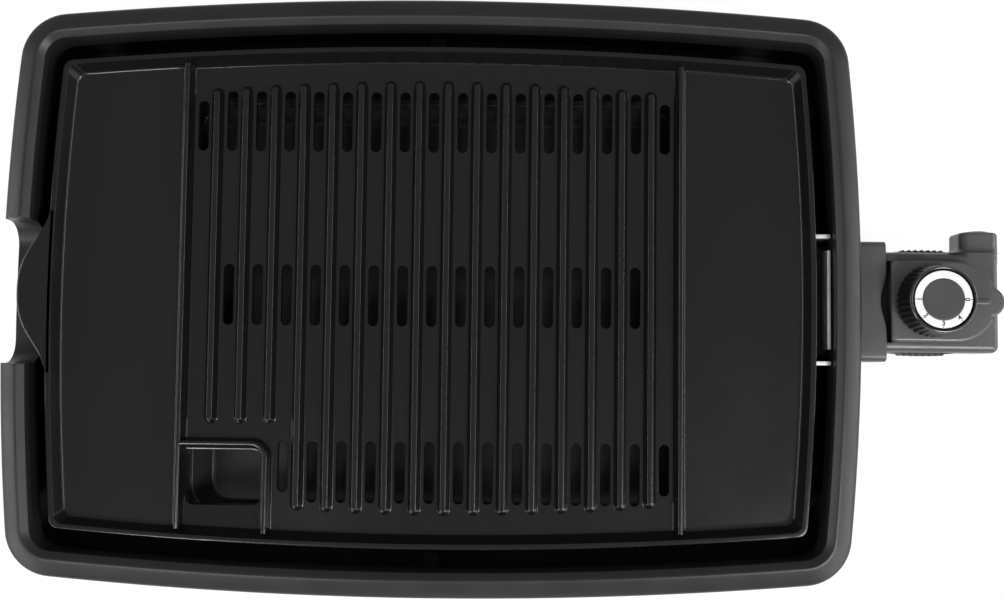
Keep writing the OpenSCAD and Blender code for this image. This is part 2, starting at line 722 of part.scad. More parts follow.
module element_casting() {
    top = under_z + sink;
    channel_turn(left_turn_x, 0, run_y, 90, 180);
    both_sides() {
        block(left_turn_x, bend_x, run_y - channel_w / 2, run_y + channel_w / 2,
            channel_z0, zone_under_z + sink);
        channel_turn(bend_x, bend_y, element_bend_r, 0, 90);
        channel_turn(bend_x + 2 * element_bend_r, bend_y, element_bend_r, 180, 90);
        block(zone_half_l, bend_x + element_bend_r + channel_w / 2, bend_y, run_y + channel_w / 2,
            zone_under_z - eps, top);
        block(left_turn_x - run_y - channel_w / 2, -zone_half_l, 0, run_y + channel_w / 2,
            zone_under_z - eps, top);
    }
    block(drop_x - channel_w / 2, boss_face_x, -pin_y - 7, pin_y + 7, socket_z - 6, top);
    block(rod_tip_x - 5, boss_face_x, -7, 7, socket_z - 6, top);
}
module legs() {
    four(leg_span_x, leg_span_y) post(0, 0, post_seat_z, under_z + sink, leg_d / 2);
}
module spout() {
    rounded_prism(drain_x0 - 2.5, drain_x1 + 2.5, drain_y0 - 2.5, drain_y1 + 2.5, drain_r + 2.5,
        zone_under_z - spout_h, zone_under_z + sink);
}
module guard_screw_holes(r, depth) {
    for (y = [-1, 1])
        along_x(boss_face_x - depth, boss_face_x + guard_t + touch, y * guard_screw_y,
            socket_z + 9, r);
}
guard_screw_y = pin_y - 5.5;
module grill_plate() {
    color("#1b1b1d") placed() {
        difference() {
            union() {
                difference() {
                    union() {
                        loft(plate_rings);
                        zone_slab();
                    }
                    zone_recess();
                }
                ribs();
                dividers();
                lifting_tab();
                element_casting();
                legs();
                spout();
            }
            slots();
            rounded_prism(drain_x0, drain_x1, drain_y0, drain_y1, drain_r,
                zone_under_z - spout_h - touch, wing_z + touch);
            chute();
            element_path(element_d / 2, boss_face_x + touch);
            along_x(rod_tip_x - 1, boss_face_x + touch, 0, socket_z, rod_d / 2 + rod_gap);
            guard_screw_holes(1.5, 8);
        }
    }
}
module heating_element() {
    color("#7c7468") placed() element_path(element_d / 2, boss_face_x);
}
seal_l = 3.5;
module element_seals() {
    color("#e8e2d6") placed() both_sides() difference() {
        along_x(boss_face_x, boss_face_x + seal_l, pin_y, socket_z, element_d / 2 + 0.6);
        along_x(boss_face_x - touch, boss_face_x + seal_l + touch, pin_y, socket_z, pin_d / 2);
    }
}
module terminal_pins() {
    color("#c9c4b8") placed() both_sides() {
        along_x(boss_face_x, pin_end_x - pin_d / 2, pin_y, socket_z, pin_d / 2);
        translate([pin_end_x - pin_d / 2, pin_y, socket_z]) sphere(d = pin_d);
    }
}

// Socket guard: folded steel hood over the pins, open below, with a bar and two raised ears
guard_half_w = tunnel_half_w - 1;
guard_z0 = body_z - 1.5;
guard_z1 = body_top_z + 1.4;
guard_top_z = lip_z - guard_drop;
bar_t = 2.1;
bar_half_w = guard_half_w - 3;
ear_y = hood_w / 2 + 2.5;
ear_t = 2.4;
ear_z0 = guard_z0 + 8;
ear_step_z = guard_z1 + 1.5;
ear_step_x = lip_x - guard_t;
module socket_guard() {
    color("#b9babb") placed() {
        difference() {
            union() {
                block(boss_face_x, guard_front_x, -guard_half_w, guard_half_w, guard_z0, guard_z1);
                block(guard_front_x - bar_t, guard_front_x, -bar_half_w, bar_half_w,
                    guard_z1 - sink, guard_top_z);
                block(boss_face_x, boss_face_x + guard_t, -ear_y, ear_y, ear_z0, ear_step_z);
                both_sides() {
                    block(boss_face_x, guard_front_x, ear_y - ear_t, ear_y, ear_z0, ear_step_z);
                    block(ear_step_x, guard_front_x, ear_y - ear_t, ear_y, ear_step_z - sink,
                        guard_top_z);
                }
            }
            block(boss_face_x + guard_t, guard_front_x + touch, -guard_half_w + guard_t,
                guard_half_w - guard_t, guard_z0 - touch, guard_z1 - guard_t);
            both_sides() along_x(boss_face_x - touch, boss_face_x + guard_t + touch, pin_y,
                socket_z, element_d / 2 + 1.2);
            along_x(boss_face_x - touch, boss_face_x + guard_t + touch, 0, socket_z,
                rod_d / 2 + 1);
            guard_screw_holes(1.7, touch);
        }
    }
}
module guard_screws() {
    color("#8d9094") placed()
        for (s = [-1, 1])
            translate([boss_face_x + guard_t + 1.4, s * guard_screw_y, socket_z + 9])
                rotate([0, -90, 0]) pan_head_screw(3, 5.4, 1.4, 7);
}

// Drip tray: pressed tray with a drawn wall and a flat flange
function tray_ring(inset, z) =
    at_z([for (p = round_box(tray_l / 2 - inset, tray_w / 2 - inset,
        max(tray_corner_r - inset, min_r), corner_steps)) [p[0], p[1] - tray_shift]], z);
tray_in = tray_flange_w;
tray_wall_lean = tray_t * tray_draft / (tray_h - tray_t);
module drip_tray() {
    color("#232426") placed()
        loft([
            tray_ring(tray_in + tray_draft + 1, tray_z),
            tray_ring(tray_in + tray_draft - tray_t, tray_z + 1.4),
            tray_ring(tray_in + tray_wall_lean - tray_t, tray_top_z - tray_t),
            tray_ring(0, tray_top_z - tray_t),
            tray_ring(0, tray_top_z),
            tray_ring(tray_in, tray_top_z),
            tray_ring(tray_in + tray_draft - 0.2, tray_z + tray_t + 1.2),
            tray_ring(tray_in + tray_draft + 1.6, tray_z + tray_t)
        ]);
}

// Control case: two halves that part at the height of the pins
function body_outline(inset) =
    [for (p = round_box((body_end_x - body_front_x) / 2 - inset, body_w / 2 - inset,
        body_r - min(inset, body_r - 1), 4)) [p[0] + (body_end_x + body_front_x) / 2, p[1]]];
module body_lower_solid() {
    loft([
        at_z(body_outline(1.6), body_z),
        at_z(body_outline(0.5), body_z + 0.6),
        at_z(body_outline(0), body_z + 2),
        at_z(body_outline(0), split_z)
    ]);
}
module body_upper_solid() {
    loft([
        at_z(body_outline(0), split_z),
        at_z(body_outline(0), body_top_z - 4),
        at_z(body_outline(0.5), body_top_z - 2),
        at_z(body_outline(1.6), body_top_z - 0.6),
        at_z(body_outline(3), body_top_z)
    ]);
}
module body_hollow(z0, z1) {
    block(body_front_x + 3, body_end_x - case_wall, case_wall - body_w / 2,
        body_w / 2 - case_wall, z0, z1);
}
nose_angle = 40;
function deck_quarter(inset) = concat(
    [[nose_x + nose_r - inset, 0]],
    [for (i = [1:4]) let (t = nose_angle * i / 4)
        [nose_x + (nose_r - inset) * cos(t), (nose_r - inset) * sin(t)]],
    [for (i = [0:6]) let (t = 30 + 60 * i / 6)
        [deck_round_x + (deck_w / 2 - inset) * cos(t), (deck_w / 2 - inset) * sin(t)]],
    [[deck_x + 2 + inset, deck_w / 2 - inset], [deck_x + inset, deck_w / 2 - 2 - inset]]);
function deck_outline(inset) =
    let (q = deck_quarter(inset), n = len(q))
    concat(q, [for (i = [n - 1:-1:1]) [q[i][0], -q[i][1]]]);
module deck_solid() {
    loft([
        at_z(deck_outline(0), body_top_z - 1),
        at_z(deck_outline(0.3), deck_z - 1.2),
        at_z(deck_outline(0.7), deck_z - 0.4),
        at_z(deck_outline(1.5), deck_z)
    ]);
}
module pointer_mark() {
    x0 = knob_x + knob_d / 2 + 4.6;
    translate([0, 0, deck_z - eps]) linear_extrude(0.8) {
        translate([x0, -1.6]) square([5, 3.2]);
        translate([x0, 0]) circle(r = 1.6);
        translate([x0 + 5, 0]) circle(r = 1.6);
    }
}
module cord_boss_solid() {
    along_y(boss_x, body_w / 2 - 8, boss_y, boss_z, boss_d / 2);
}
module cord_boss_bore() {
    along_y(boss_x, body_w / 2 - 9, boss_y + touch, boss_z, gland_d / 2);
}
module half_space(z0, z1) {
    block(body_front_x - 20, body_end_x + 20, -body_w, body_w, z0, z1);
}
screw_places = [
    [body_front_x + 7, body_w / 2 - 6], [body_front_x + 7, 6 - body_w / 2],
    [body_end_x - 7, 6 - body_w / 2], [body_end_x - 28, body_w / 2 - 6]
];
case_boss_r = 3.2;
module case_bosses(z0, z1) { for (p = screw_places) post(p[0], p[1], z0, z1, case_boss_r); }
module case_bores(z0, z1, r) { for (p = screw_places) post(p[0], p[1], z0, z1, r); }
module plug_window() {
    block(body_front_x - touch, body_front_x + 3 + touch, -plug_half_w + 2, plug_half_w - 2,
        plug_z0 + 1, plug_z1 - 1);
}
module control_lower_case() {
    color("#2b2c2f") placed() {
        difference() {
            union() {
                difference() {
                    union() {
                        body_lower_solid();
                        intersection() {
                            cord_boss_solid();
                            half_space(0, split_z);
                        }
                    }
                    body_hollow(body_z + case_wall, split_z + touch);
                }
                case_bosses(body_z + 1, split_z);
                difference() {
                    intersection() {
                        cord_boss_solid();
                        half_space(0, split_z);
                    }
                    block(body_front_x, body_end_x + 20, -body_w, body_w / 2 - 8 + case_wall,
                        body_z - 1, split_z + touch);
                }
            }
            cord_boss_bore();
            plug_window();
            case_bores(body_z - 1, body_z + 3, 2.9);
            case_bores(body_z, split_z + touch, 1.6);
        }
    }
}
module control_upper_case() {
    color("#303134") placed() {
        difference() {
            union() {
                difference() {
                    union() {
                        body_upper_solid();
                        intersection() {
                            cord_boss_solid();
                            half_space(split_z, 100);
                        }
                        deck_solid();
                    }
                    body_hollow(split_z - touch, body_top_z - case_wall);
                    post(knob_x, 0, body_top_z - case_wall - 1, deck_z - 3, 13);
                }
                pointer_mark();
                case_bosses(split_z, body_top_z - case_wall + eps);
                difference() {
                    intersection() {
                        cord_boss_solid();
                        half_space(split_z, 100);
                    }
                    block(body_front_x, body_end_x + 20, -body_w, body_w / 2 - 8 + case_wall,
                        split_z - 1, 100);
                }
            }
            cord_boss_bore();
            plug_window();
            case_bores(split_z - touch, split_z + 8, 1.2);
            post(knob_x, 0, deck_z - 4, deck_z + touch, bush_r);
        }
    }
}
case_screw_d = 2.4;
case_screw_head_d = 5.4;
case_screw_l = 15;
module case_screws() {
    color("#8d9094") placed()
        for (p = screw_places)
            translate([p[0], p[1], body_z + 1])
                pan_head_screw(case_screw_d, case_screw_head_d, 2, case_screw_l);
}

// Plug block: moulded insulator that carries the contact sleeves and the rod
module plug_block() {
    color("#3a302a") placed() {
        difference() {
            union() {
                block(plug_front_x, body_front_x - 0.5, -plug_half_w, plug_half_w,
                    plug_z0, plug_z1);
                block(body_front_x - 0.6, body_front_x + 3, -plug_half_w + 2.2, plug_half_w - 2.2,
                    plug_z0 + 1.2, plug_z1 - 1.2);
                block(body_front_x + 3, body_front_x + 6, case_wall - body_w / 2,
                    body_w / 2 - case_wall, body_z + case_wall, body_top_z - case_wall);
            }
            both_sides() along_x(plug_front_x - touch, body_front_x + 7, pin_y, socket_z,
                sleeve_r);
            along_x(plug_front_x - touch, body_front_x + 7, 0, socket_z, rod_d / 2);
            case_bores_notch();
        }
    }
}
module case_bores_notch() {
    for (p = screw_places) post(p[0], p[1], body_z, body_top_z, case_boss_r + 0.3);
}
sleeve_tail = 12;
module contact_sleeves() {
    color("#c8a45a") placed() both_sides() difference() {
        along_x(plug_front_x + 1, body_front_x + sleeve_tail, pin_y, socket_z, sleeve_r);
        along_x(plug_front_x, pin_end_x + 1.5, pin_y, socket_z, pin_d / 2 + 0.08);
    }
}
rod_tail = 8;
module sensor_rod() {
    color("#c4c6c8") placed() {
        along_x(rod_tip_x + rod_d / 2, body_front_x + rod_tail, 0, socket_z, rod_d / 2);
        translate([rod_tip_x + rod_d / 2, 0, socket_z]) sphere(d = rod_d);
    }
}
module rod_nut() {
    color("#a9abad") placed() difference() {
        translate([body_front_x + 6, 0, socket_z]) rotate([0, 90, 0])
            cylinder(h = 2, r = rod_d / 2 + 2.6, $fn = 6);
        along_x(body_front_x + 5, body_front_x + 9, 0, socket_z, rod_d / 2);
    }
}

// Finger grips: ribbed pads on both sides of the control
grip_x = hood_x + 23.5;
grip_half_l = grip_pitch * (grip_ribs - 1) / 2 + 7;
grip_t = 1;
module grip() {
    y = body_w / 2;
    z0 = socket_z - 8;
    z1 = socket_z + 6.5;
    translate([0, 0, z0]) linear_extrude(z1 - z0)
        polygon(concat(
            [for (i = [0:8]) let (t = 180 * i / 8)
                [grip_x + grip_half_l * cos(t), y + grip_t * sin(t)]]));
    for (i = [0:grip_ribs - 1])
        post(grip_x + (i - (grip_ribs - 1) / 2) * grip_pitch, y + grip_t * 0.9, z0 + 0.5,
            z1 - 0.5, 0.9);
}
module front_grip() { color("#232427") placed() grip_clear() mirror([0, 1, 0]) grip(); }
module rear_grip() { color("#232427") placed() grip_clear() grip(); }
module grip_clear() {
    difference() {
        children();
        block(body_front_x, body_end_x, -body_w / 2, body_w / 2, body_z, body_top_z);
    }
}

// Cord gland: rubber bush in the boss, held by a clamp inside the case
gland_lip_h = 1.4;
module cord_gland() {
    color("#161618") placed() difference() {
        union() {
            along_y(boss_x, body_w / 2 - 6, boss_y, boss_z, gland_d / 2);
            along_y(boss_x, boss_y, boss_y + gland_lip_h, boss_z, gland_d / 2 + 1.6);
        }
        along_y(boss_x, body_w / 2 - 7, boss_y + gland_lip_h + touch, boss_z, cord_d / 2);
    }
}
module gland_clamp() {
    color("#8d9094") placed() difference() {
        block(boss_x - 8, boss_x + 8, body_w / 2 - 9, body_w / 2 - 6.2, body_z + case_wall,
            body_z + case_wall + 5);
        along_y(boss_x, body_w / 2 - 10, body_w / 2 - 5, boss_z, boss_z - body_z - 5);
    }
}

// Thermostat: frame, bimetal strip, two leaves with insulators, and the spindle's bush
bush_r = spindle_d / 2 + 2.2;
module spindle_bush() {
    color("#c8a45a") placed() difference() {
        union() {
            post(knob_x, 0, deck_z - 4 - 2, deck_z + 0.2, bush_r);
            post(knob_x, 0, deck_z - 4.6, deck_z - 3, bush_r + 2.2);
        }
        post(knob_x, 0, deck_z - 10, deck_z + touch, spindle_d / 2 + spindle_gap);
    }
}
frame_x0 = body_front_x + 9;
frame_z = body_z + case_wall + 3;
module thermostat_frame() {
    color("#b9babb") placed() difference() {
        union() {
            block(frame_x0, knob_x + 14, -7, 7, frame_z, frame_z + 1.2);
            block(frame_x0, frame_x0 + 1.2, -7, 7, frame_z, socket_z + 6);
            block(knob_x + 6, knob_x + 14, -7, 7, body_z + case_wall, frame_z + eps);
            block(frame_x0 + 1, frame_x0 + 8, -7, 7, body_z + case_wall, frame_z + eps);
        }
        along_x(frame_x0 - touch, frame_x0 + 3, 0, socket_z, rod_d / 2 + 0.5);
    }
}
stack_x = frame_x0 + 7;
leaf_l = knob_x - stack_x + 3;
module leaf(z, l, w, t) { block(stack_x - 4, stack_x - 4 + l, -w / 2, w / 2, z, z + t); }
leaf_z = frame_z + 1.2;
insulator_h = 2.2;
bimetal_z = leaf_z + insulator_h;
moving_z = bimetal_z + 0.8 + insulator_h;
fixed_z = moving_z + 0.5 + insulator_h;
module stack_hole(z0, z1) { post(stack_x, 0, z0 - touch, z1 + touch, 1.25); }
module bimetal_strip() {
    color("#a07f5a") placed() difference() {
        leaf(bimetal_z, leaf_l + 4, 8, 0.8);
        stack_hole(bimetal_z, bimetal_z + 1);
    }
}
module moving_leaf() {
    color("#c98f5a") placed() difference() {
        leaf(moving_z, leaf_l - 8, 6, 0.5);
        stack_hole(moving_z, moving_z + 1);
        post(contact_x, 0, moving_z - touch, moving_z + touch, 1);
    }
}
module fixed_leaf() {
    color("#c98f5a") placed() difference() {
        leaf(fixed_z, leaf_l + 4, 6, 0.5);
        stack_hole(fixed_z, fixed_z + 1);
        post(contact_x, 0, fixed_z - touch, fixed_z + touch, 1);
    }
}
contact_x = stack_x + leaf_l - 16;
module leaf_insulators() {
    color("#e8e2d6") placed()
        for (z = [leaf_z, bimetal_z + 0.8, moving_z + 0.5]) difference() {
            post(stack_x, 0, z, z + insulator_h, 3.6);
            stack_hole(z, z + insulator_h);
        }
}
module contact_points() {
    color("#d8d8d4") placed() {
        post(contact_x, 0, moving_z, moving_z + 0.5, 1);
        post(contact_x, 0, moving_z + 0.5, moving_z + 1.4, 1.8);
        post(contact_x, 0, fixed_z - 0.9, fixed_z, 1.8);
        post(contact_x, 0, fixed_z, fixed_z + 0.5, 1);
    }
}
module leaf_rivet() {
    color("#a9abad") placed() {
        post(stack_x, 0, leaf_z, fixed_z + 0.5, 1.25);
        post(stack_x, 0, fixed_z + 0.5, fixed_z + 1.5, 2.4);
    }
}

// Knob: fluted and flared skirt with a recess for the dial ring and the centre cap
function flute_ring(r, depth, z) = [for (i = [0:flute_count * 4 - 1])
    let (t = 90 * i / flute_count, d = [0, 0.25, 1, 0.25][i % 4] * depth)
    [knob_x + (r - d) * cos(t), (r - d) * sin(t), z]];
knob_rim_t = (knob_top_d - dial_d) / 2;
dial_t = 1.2;
cap_t = 1.6;
module control_knob() {
    color("#202124") placed() difference() {
        loft([
            flute_ring(knob_d / 2 - 0.6, 0, knob_z),
            flute_ring(knob_d / 2, 0, knob_z + 0.6),
            flute_ring(knob_d / 2 - 0.1, flute_depth, knob_z + 1.6),
            flute_ring((knob_d + knob_top_d) / 4 - 0.3, flute_depth, knob_z + knob_h * 0.55),
            flute_ring(knob_top_d / 2 - 0.1, flute_depth, knob_top_z - 1.8),
            flute_ring(knob_top_d / 2, 0, knob_top_z - 0.9),
            flute_ring(knob_top_d / 2 - 0.8, 0, knob_top_z)
        ]);
        post(knob_x, 0, knob_top_z - dial_t, knob_top_z + touch, dial_d / 2 + 0.05);
        post(knob_x, 0, knob_top_z - dial_t - cap_t, knob_top_z, cap_d / 2 - 1.2);
        difference() {
            post(knob_x, 0, knob_z - touch, knob_top_z - dial_t - cap_t - 2.4, knob_top_d / 2 - 3.2);
            post(knob_x, 0, knob_z - touch, knob_top_z, spindle_d / 2 + 3.4);
        }
        post(knob_x, 0, knob_z - touch, knob_z + 4, spindle_d / 2);
        difference() {
            post(knob_x, 0, knob_z + 4 - eps, knob_top_z - dial_t - cap_t + eps, spindle_d / 2);
            spindle_flat(knob_z + 3, knob_top_z);
        }
    }
}
module dial_ring() {
    color("#f2f2ef") placed() difference() {
        post(knob_x, 0, knob_top_z - dial_t, knob_top_z - 0.3, dial_d / 2);
        post(knob_x, 0, knob_top_z - dial_t - touch, knob_top_z, cap_d / 2 + 0.05);
    }
}
module knob_cap() {
    color("#58595c") placed() {
        post(knob_x, 0, knob_top_z - dial_t, knob_top_z - 0.1, cap_d / 2);
        post(knob_x, 0, knob_top_z - dial_t - 1, knob_top_z - dial_t + eps, cap_d / 2 - 1.3);
    }
}
spindle_low_z = fixed_z + 0.6;
flat_x = knob_x + spindle_d / 2 - 0.8;
module spindle_flat(z0, z1) { block(flat_x, knob_x + spindle_d, -spindle_d, spindle_d, z0, z1); }
module knob_spindle() {
    color("#a9abad") placed() difference() {
        post(knob_x, 0, spindle_low_z, knob_top_z - dial_t - cap_t, spindle_d / 2);
        difference() {
            post(knob_x, 0, clip_z, clip_z + 0.8, spindle_d / 2 + 1);
            post(knob_x, 0, clip_z - 1, clip_z + 2, spindle_d / 2 - 0.7);
        }
        spindle_flat(knob_z + 4, knob_top_z);
    }
}
clip_z = deck_z - 7;
module spindle_clip() {
    color("#6f7175") placed() difference() {
        post(knob_x, 0, clip_z, clip_z + 0.8, spindle_d / 2 + 1.8);
        post(knob_x, 0, clip_z - 1, clip_z + 2, spindle_d / 2 - 0.7);
        block(knob_x, knob_x + 10, -1.6, 1.6, clip_z - 1, clip_z + 2);
    }
}

base_housing();
base_pan();
pan_screws();
rubber_feet();
foot_screws();
grill_plate();
heating_element();
element_seals();
terminal_pins();
socket_guard();
guard_screws();
drip_tray();
control_lower_case();
control_upper_case();
case_screws();
plug_block();
contact_sleeves();
sensor_rod();
rod_nut();
front_grip();
rear_grip();
cord_gland();
gland_clamp();
spindle_bush();
thermostat_frame();
bimetal_strip();
moving_leaf();
fixed_leaf();
leaf_insulators();
contact_points();
leaf_rivet();
control_knob();
dial_ring();
knob_cap();
knob_spindle();
spindle_clip();
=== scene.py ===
# %% [markdown]
# # An electric indoor grill
#
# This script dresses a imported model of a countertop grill: a moulded housing, a ribbed
# cast plate with a non-stick coating, a drip tray and a plug-in control with a dial.
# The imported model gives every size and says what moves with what. Blender adds the
# rounded edges, the surface finishes and the light.

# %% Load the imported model
import math
import bmesh
import bpy
from mathutils import Matrix, Vector


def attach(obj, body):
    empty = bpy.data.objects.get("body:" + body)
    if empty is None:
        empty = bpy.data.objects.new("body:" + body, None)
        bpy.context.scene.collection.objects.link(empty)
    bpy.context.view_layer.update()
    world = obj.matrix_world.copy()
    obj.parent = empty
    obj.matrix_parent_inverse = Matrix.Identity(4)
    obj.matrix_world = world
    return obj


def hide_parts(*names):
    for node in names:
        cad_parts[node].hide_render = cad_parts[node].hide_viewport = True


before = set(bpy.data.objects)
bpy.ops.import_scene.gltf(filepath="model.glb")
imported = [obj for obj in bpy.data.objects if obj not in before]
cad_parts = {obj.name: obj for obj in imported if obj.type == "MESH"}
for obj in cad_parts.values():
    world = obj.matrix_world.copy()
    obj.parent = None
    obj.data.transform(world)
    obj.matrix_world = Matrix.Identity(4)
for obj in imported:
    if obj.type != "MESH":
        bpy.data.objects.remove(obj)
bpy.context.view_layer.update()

MM = 0.001
ORIGIN_X = -42.25

# %% [markdown]
# ## The camera
#
# The grill is seen from nearly straight above, so parallax is small but real: the tall
# knob leans away from the middle. A lens of 43 mm from 0.73 m gives that lean. The three
# small turns tip the view a few degrees, as a hand-levelled stand does.

# %% Place the camera above the grill
camera_data = bpy.data.cameras.new("camera")
camera_data.sensor_width = 36
camera_data.lens = 43.03
camera = bpy.data.objects.new("camera", camera_data)
camera.location = (0.00505, -0.0421, 0.7261)
turn = (Matrix.Rotation(math.radians(0.597), 4, "Z")
        @ Matrix.Rotation(math.radians(3.443), 4, "X")
        @ Matrix.Rotation(math.radians(0.615), 4, "Y"))
camera.rotation_euler = turn.to_euler()
bpy.context.scene.collection.objects.link(camera)
bpy.context.scene.camera = camera
bpy.context.scene.view_settings.view_transform = "Standard"
print("camera height above the table:", camera.location.z)

# %% [markdown]
# ## Shader building blocks
#
# Small functions keep the node work short: one adds a node with its values, one joins
# two sockets, and one starts a node group with named sockets. Every finish below is made
# from them.

# %% Helpers for node trees
def add_node(tree, kind, **values):
    """Adds a node and sets its properties and unlinked inputs by name."""
    node = tree.nodes.new(kind)
    for name, value in values.items():
        if name.startswith("in_"):
            node.inputs[name[3:].replace("_", " ")].default_value = value
        else:
            setattr(node, name, value)
    return node


def join(tree, start, end):
    tree.links.new(start, end)


def new_group(name, inputs, outputs):
    """A node group whose sockets are given as (name, kind, default)."""
    tree = bpy.data.node_groups.new(name, "ShaderNodeTree")
    for socket_name, kind, default in inputs:
        socket = tree.interface.new_socket(socket_name, in_out="INPUT", socket_type=kind)
        if default is not None:
            socket.default_value = default
    for socket_name, kind in outputs:
        tree.interface.new_socket(socket_name, in_out="OUTPUT", socket_type=kind)
    entry = tree.nodes.new("NodeGroupInput")
    leave = tree.nodes.new("NodeGroupOutput")
    return tree, entry.outputs, leave.inputs


def noise(tree, vector, scale, detail=3.0, rough=0.5):
    node = add_node(tree, "ShaderNodeTexNoise", in_Detail=detail, in_Roughness=rough)
    join(tree, vector, node.inputs["Vector"])
    if isinstance(scale, (int, float)):
        node.inputs["Scale"].default_value = scale
    else:
        join(tree, scale, node.inputs["Scale"])
    return node.outputs["Fac"]


def remap(tree, value, low, high, to_low, to_high):
    """Stretches a value's useful range; each end may be a number or a socket."""
    node = add_node(tree, "ShaderNodeMapRange", clamp=True)
    join(tree, value, node.inputs["Value"])
    for name, end in (("From Min", low), ("From Max", high),
                      ("To Min", to_low), ("To Max", to_high)):
        if isinstance(end, (int, float)):
            node.inputs[name].default_value = end
        else:
            join(tree, end, node.inputs[name])
    return node.outputs["Result"]


def sums(tree, operation, a, b):
    node = add_node(tree, "ShaderNodeMath", operation=operation)
    for socket, value in zip(node.inputs, (a, b)):
        if isinstance(value, (int, float)):
            socket.default_value = value
        else:
            join(tree, value, socket)
    return node.outputs["Value"]


def tint(tree, colour, amount):
    """Makes a colour lighter or darker by a factor."""
    node = add_node(tree, "ShaderNodeVectorMath", operation="SCALE")
    join(tree, colour, node.inputs[0])
    join(tree, amount, node.inputs["Scale"])
    return node.outputs["Vector"]


# %% [markdown]
# ## Finishes used by more than one material
#
# Moulded plastic has a fine spark-eroded grain and faint flow marks. A sprayed non-stick
# coating has orange peel and a few grease smears. Sheet metal has rolling lines. Each is
# a node group with its scale and strength as inputs, so that the housing, the control and
# the knob share one grain but not one look.

# %% Moulded grain
FINISH_OUTPUTS = [("Colour", "NodeSocketColor"), ("Roughness", "NodeSocketFloat"),
                  ("Height", "NodeSocketFloat")]


def build_moulded_grain():
    tree, given, out = new_group(
        "moulded_grain",
        [("Vector", "NodeSocketVector", None), ("Colour", "NodeSocketColor", (0.03, 0.03, 0.03, 1)),
         ("Grain Scale", "NodeSocketFloat", 2600.0), ("Tone Spread", "NodeSocketFloat", 0.12),
         ("Roughness", "NodeSocketFloat", 0.5), ("Roughness Spread", "NodeSocketFloat", 0.08)],
        FINISH_OUTPUTS)
    grain = noise(tree, given["Vector"], given["Grain Scale"], 2.0, 0.6)
    flow = noise(tree, given["Vector"], 22.0, 3.0)
    spread_low = sums(tree, "SUBTRACT", 1.0, given["Tone Spread"])
    spread_high = sums(tree, "ADD", 1.0, given["Tone Spread"])
    tone = remap(tree, flow, 0.35, 0.65, spread_low, spread_high)
    speck = remap(tree, grain, 0.3, 0.7, 0.93, 1.07)
    join(tree, tint(tree, given["Colour"], sums(tree, "MULTIPLY", tone, speck)), out["Colour"])
    rough_low = sums(tree, "SUBTRACT", given["Roughness"], given["Roughness Spread"])
    rough_high = sums(tree, "ADD", given["Roughness"], given["Roughness Spread"])
    wipe = noise(tree, given["Vector"], 45.0, 4.0, 0.6)
    join(tree, remap(tree, wipe, 0.3, 0.7, rough_low, rough_high), out["Roughness"])
    join(tree, grain, out["Height"])
    return tree


# %% Sprayed coating
def build_sprayed_coating():
    tree, given, out = new_group(
        "sprayed_coating",
        [("Vector", "NodeSocketVector", None), ("Colour", "NodeSocketColor", (0.01, 0.01, 0.01, 1)),
         ("Peel Scale", "NodeSocketFloat", 700.0), ("Roughness", "NodeSocketFloat", 0.25),
         ("Smear", "NodeSocketFloat", 0.06)],
        FINISH_OUTPUTS)
    peel = noise(tree, given["Vector"], given["Peel Scale"], 2.0, 0.5)
    fine = noise(tree, given["Vector"], 4200.0, 1.0, 0.5)
    smear = noise(tree, given["Vector"], 14.0, 5.0, 0.62)
    join(tree, tint(tree, given["Colour"], remap(tree, fine, 0.35, 0.65, 0.85, 1.2)), out["Colour"])
    high = sums(tree, "ADD", given["Roughness"], given["Smear"])
    join(tree, remap(tree, smear, 0.42, 0.68, given["Roughness"], high), out["Roughness"])
    join(tree, sums(tree, "ADD", sums(tree, "MULTIPLY", peel, 0.8),
                    sums(tree, "MULTIPLY", fine, 0.2)), out["Height"])
    return tree


# %% Rolled sheet
def build_rolled_sheet():
    tree, given, out = new_group(
        "rolled_sheet",
        [("Vector", "NodeSocketVector", None), ("Colour", "NodeSocketColor", (0.6, 0.6, 0.6, 1)),
         ("Line Scale", "NodeSocketFloat", 900.0), ("Roughness", "NodeSocketFloat", 0.3)],
        FINISH_OUTPUTS)
    squeeze = add_node(tree, "ShaderNodeMapping")
    squeeze.inputs["Scale"].default_value = (1.0, 0.03, 1.0)
    join(tree, given["Vector"], squeeze.inputs["Vector"])
    lines = noise(tree, squeeze.outputs["Vector"], given["Line Scale"], 2.0)
    spots = noise(tree, given["Vector"], 60.0, 4.0)
    join(tree, tint(tree, given["Colour"], remap(tree, spots, 0.3, 0.7, 0.85, 1.08)), out["Colour"])
    high = sums(tree, "ADD", given["Roughness"], 0.16)
    join(tree, remap(tree, lines, 0.3, 0.7, given["Roughness"], high), out["Roughness"])
    join(tree, lines, out["Height"])
    return tree


GRAIN, COATING, SHEET = build_moulded_grain(), build_sprayed_coating(), build_rolled_sheet()
print("shared finishes:", [g.name for g in (GRAIN, COATING, SHEET)])

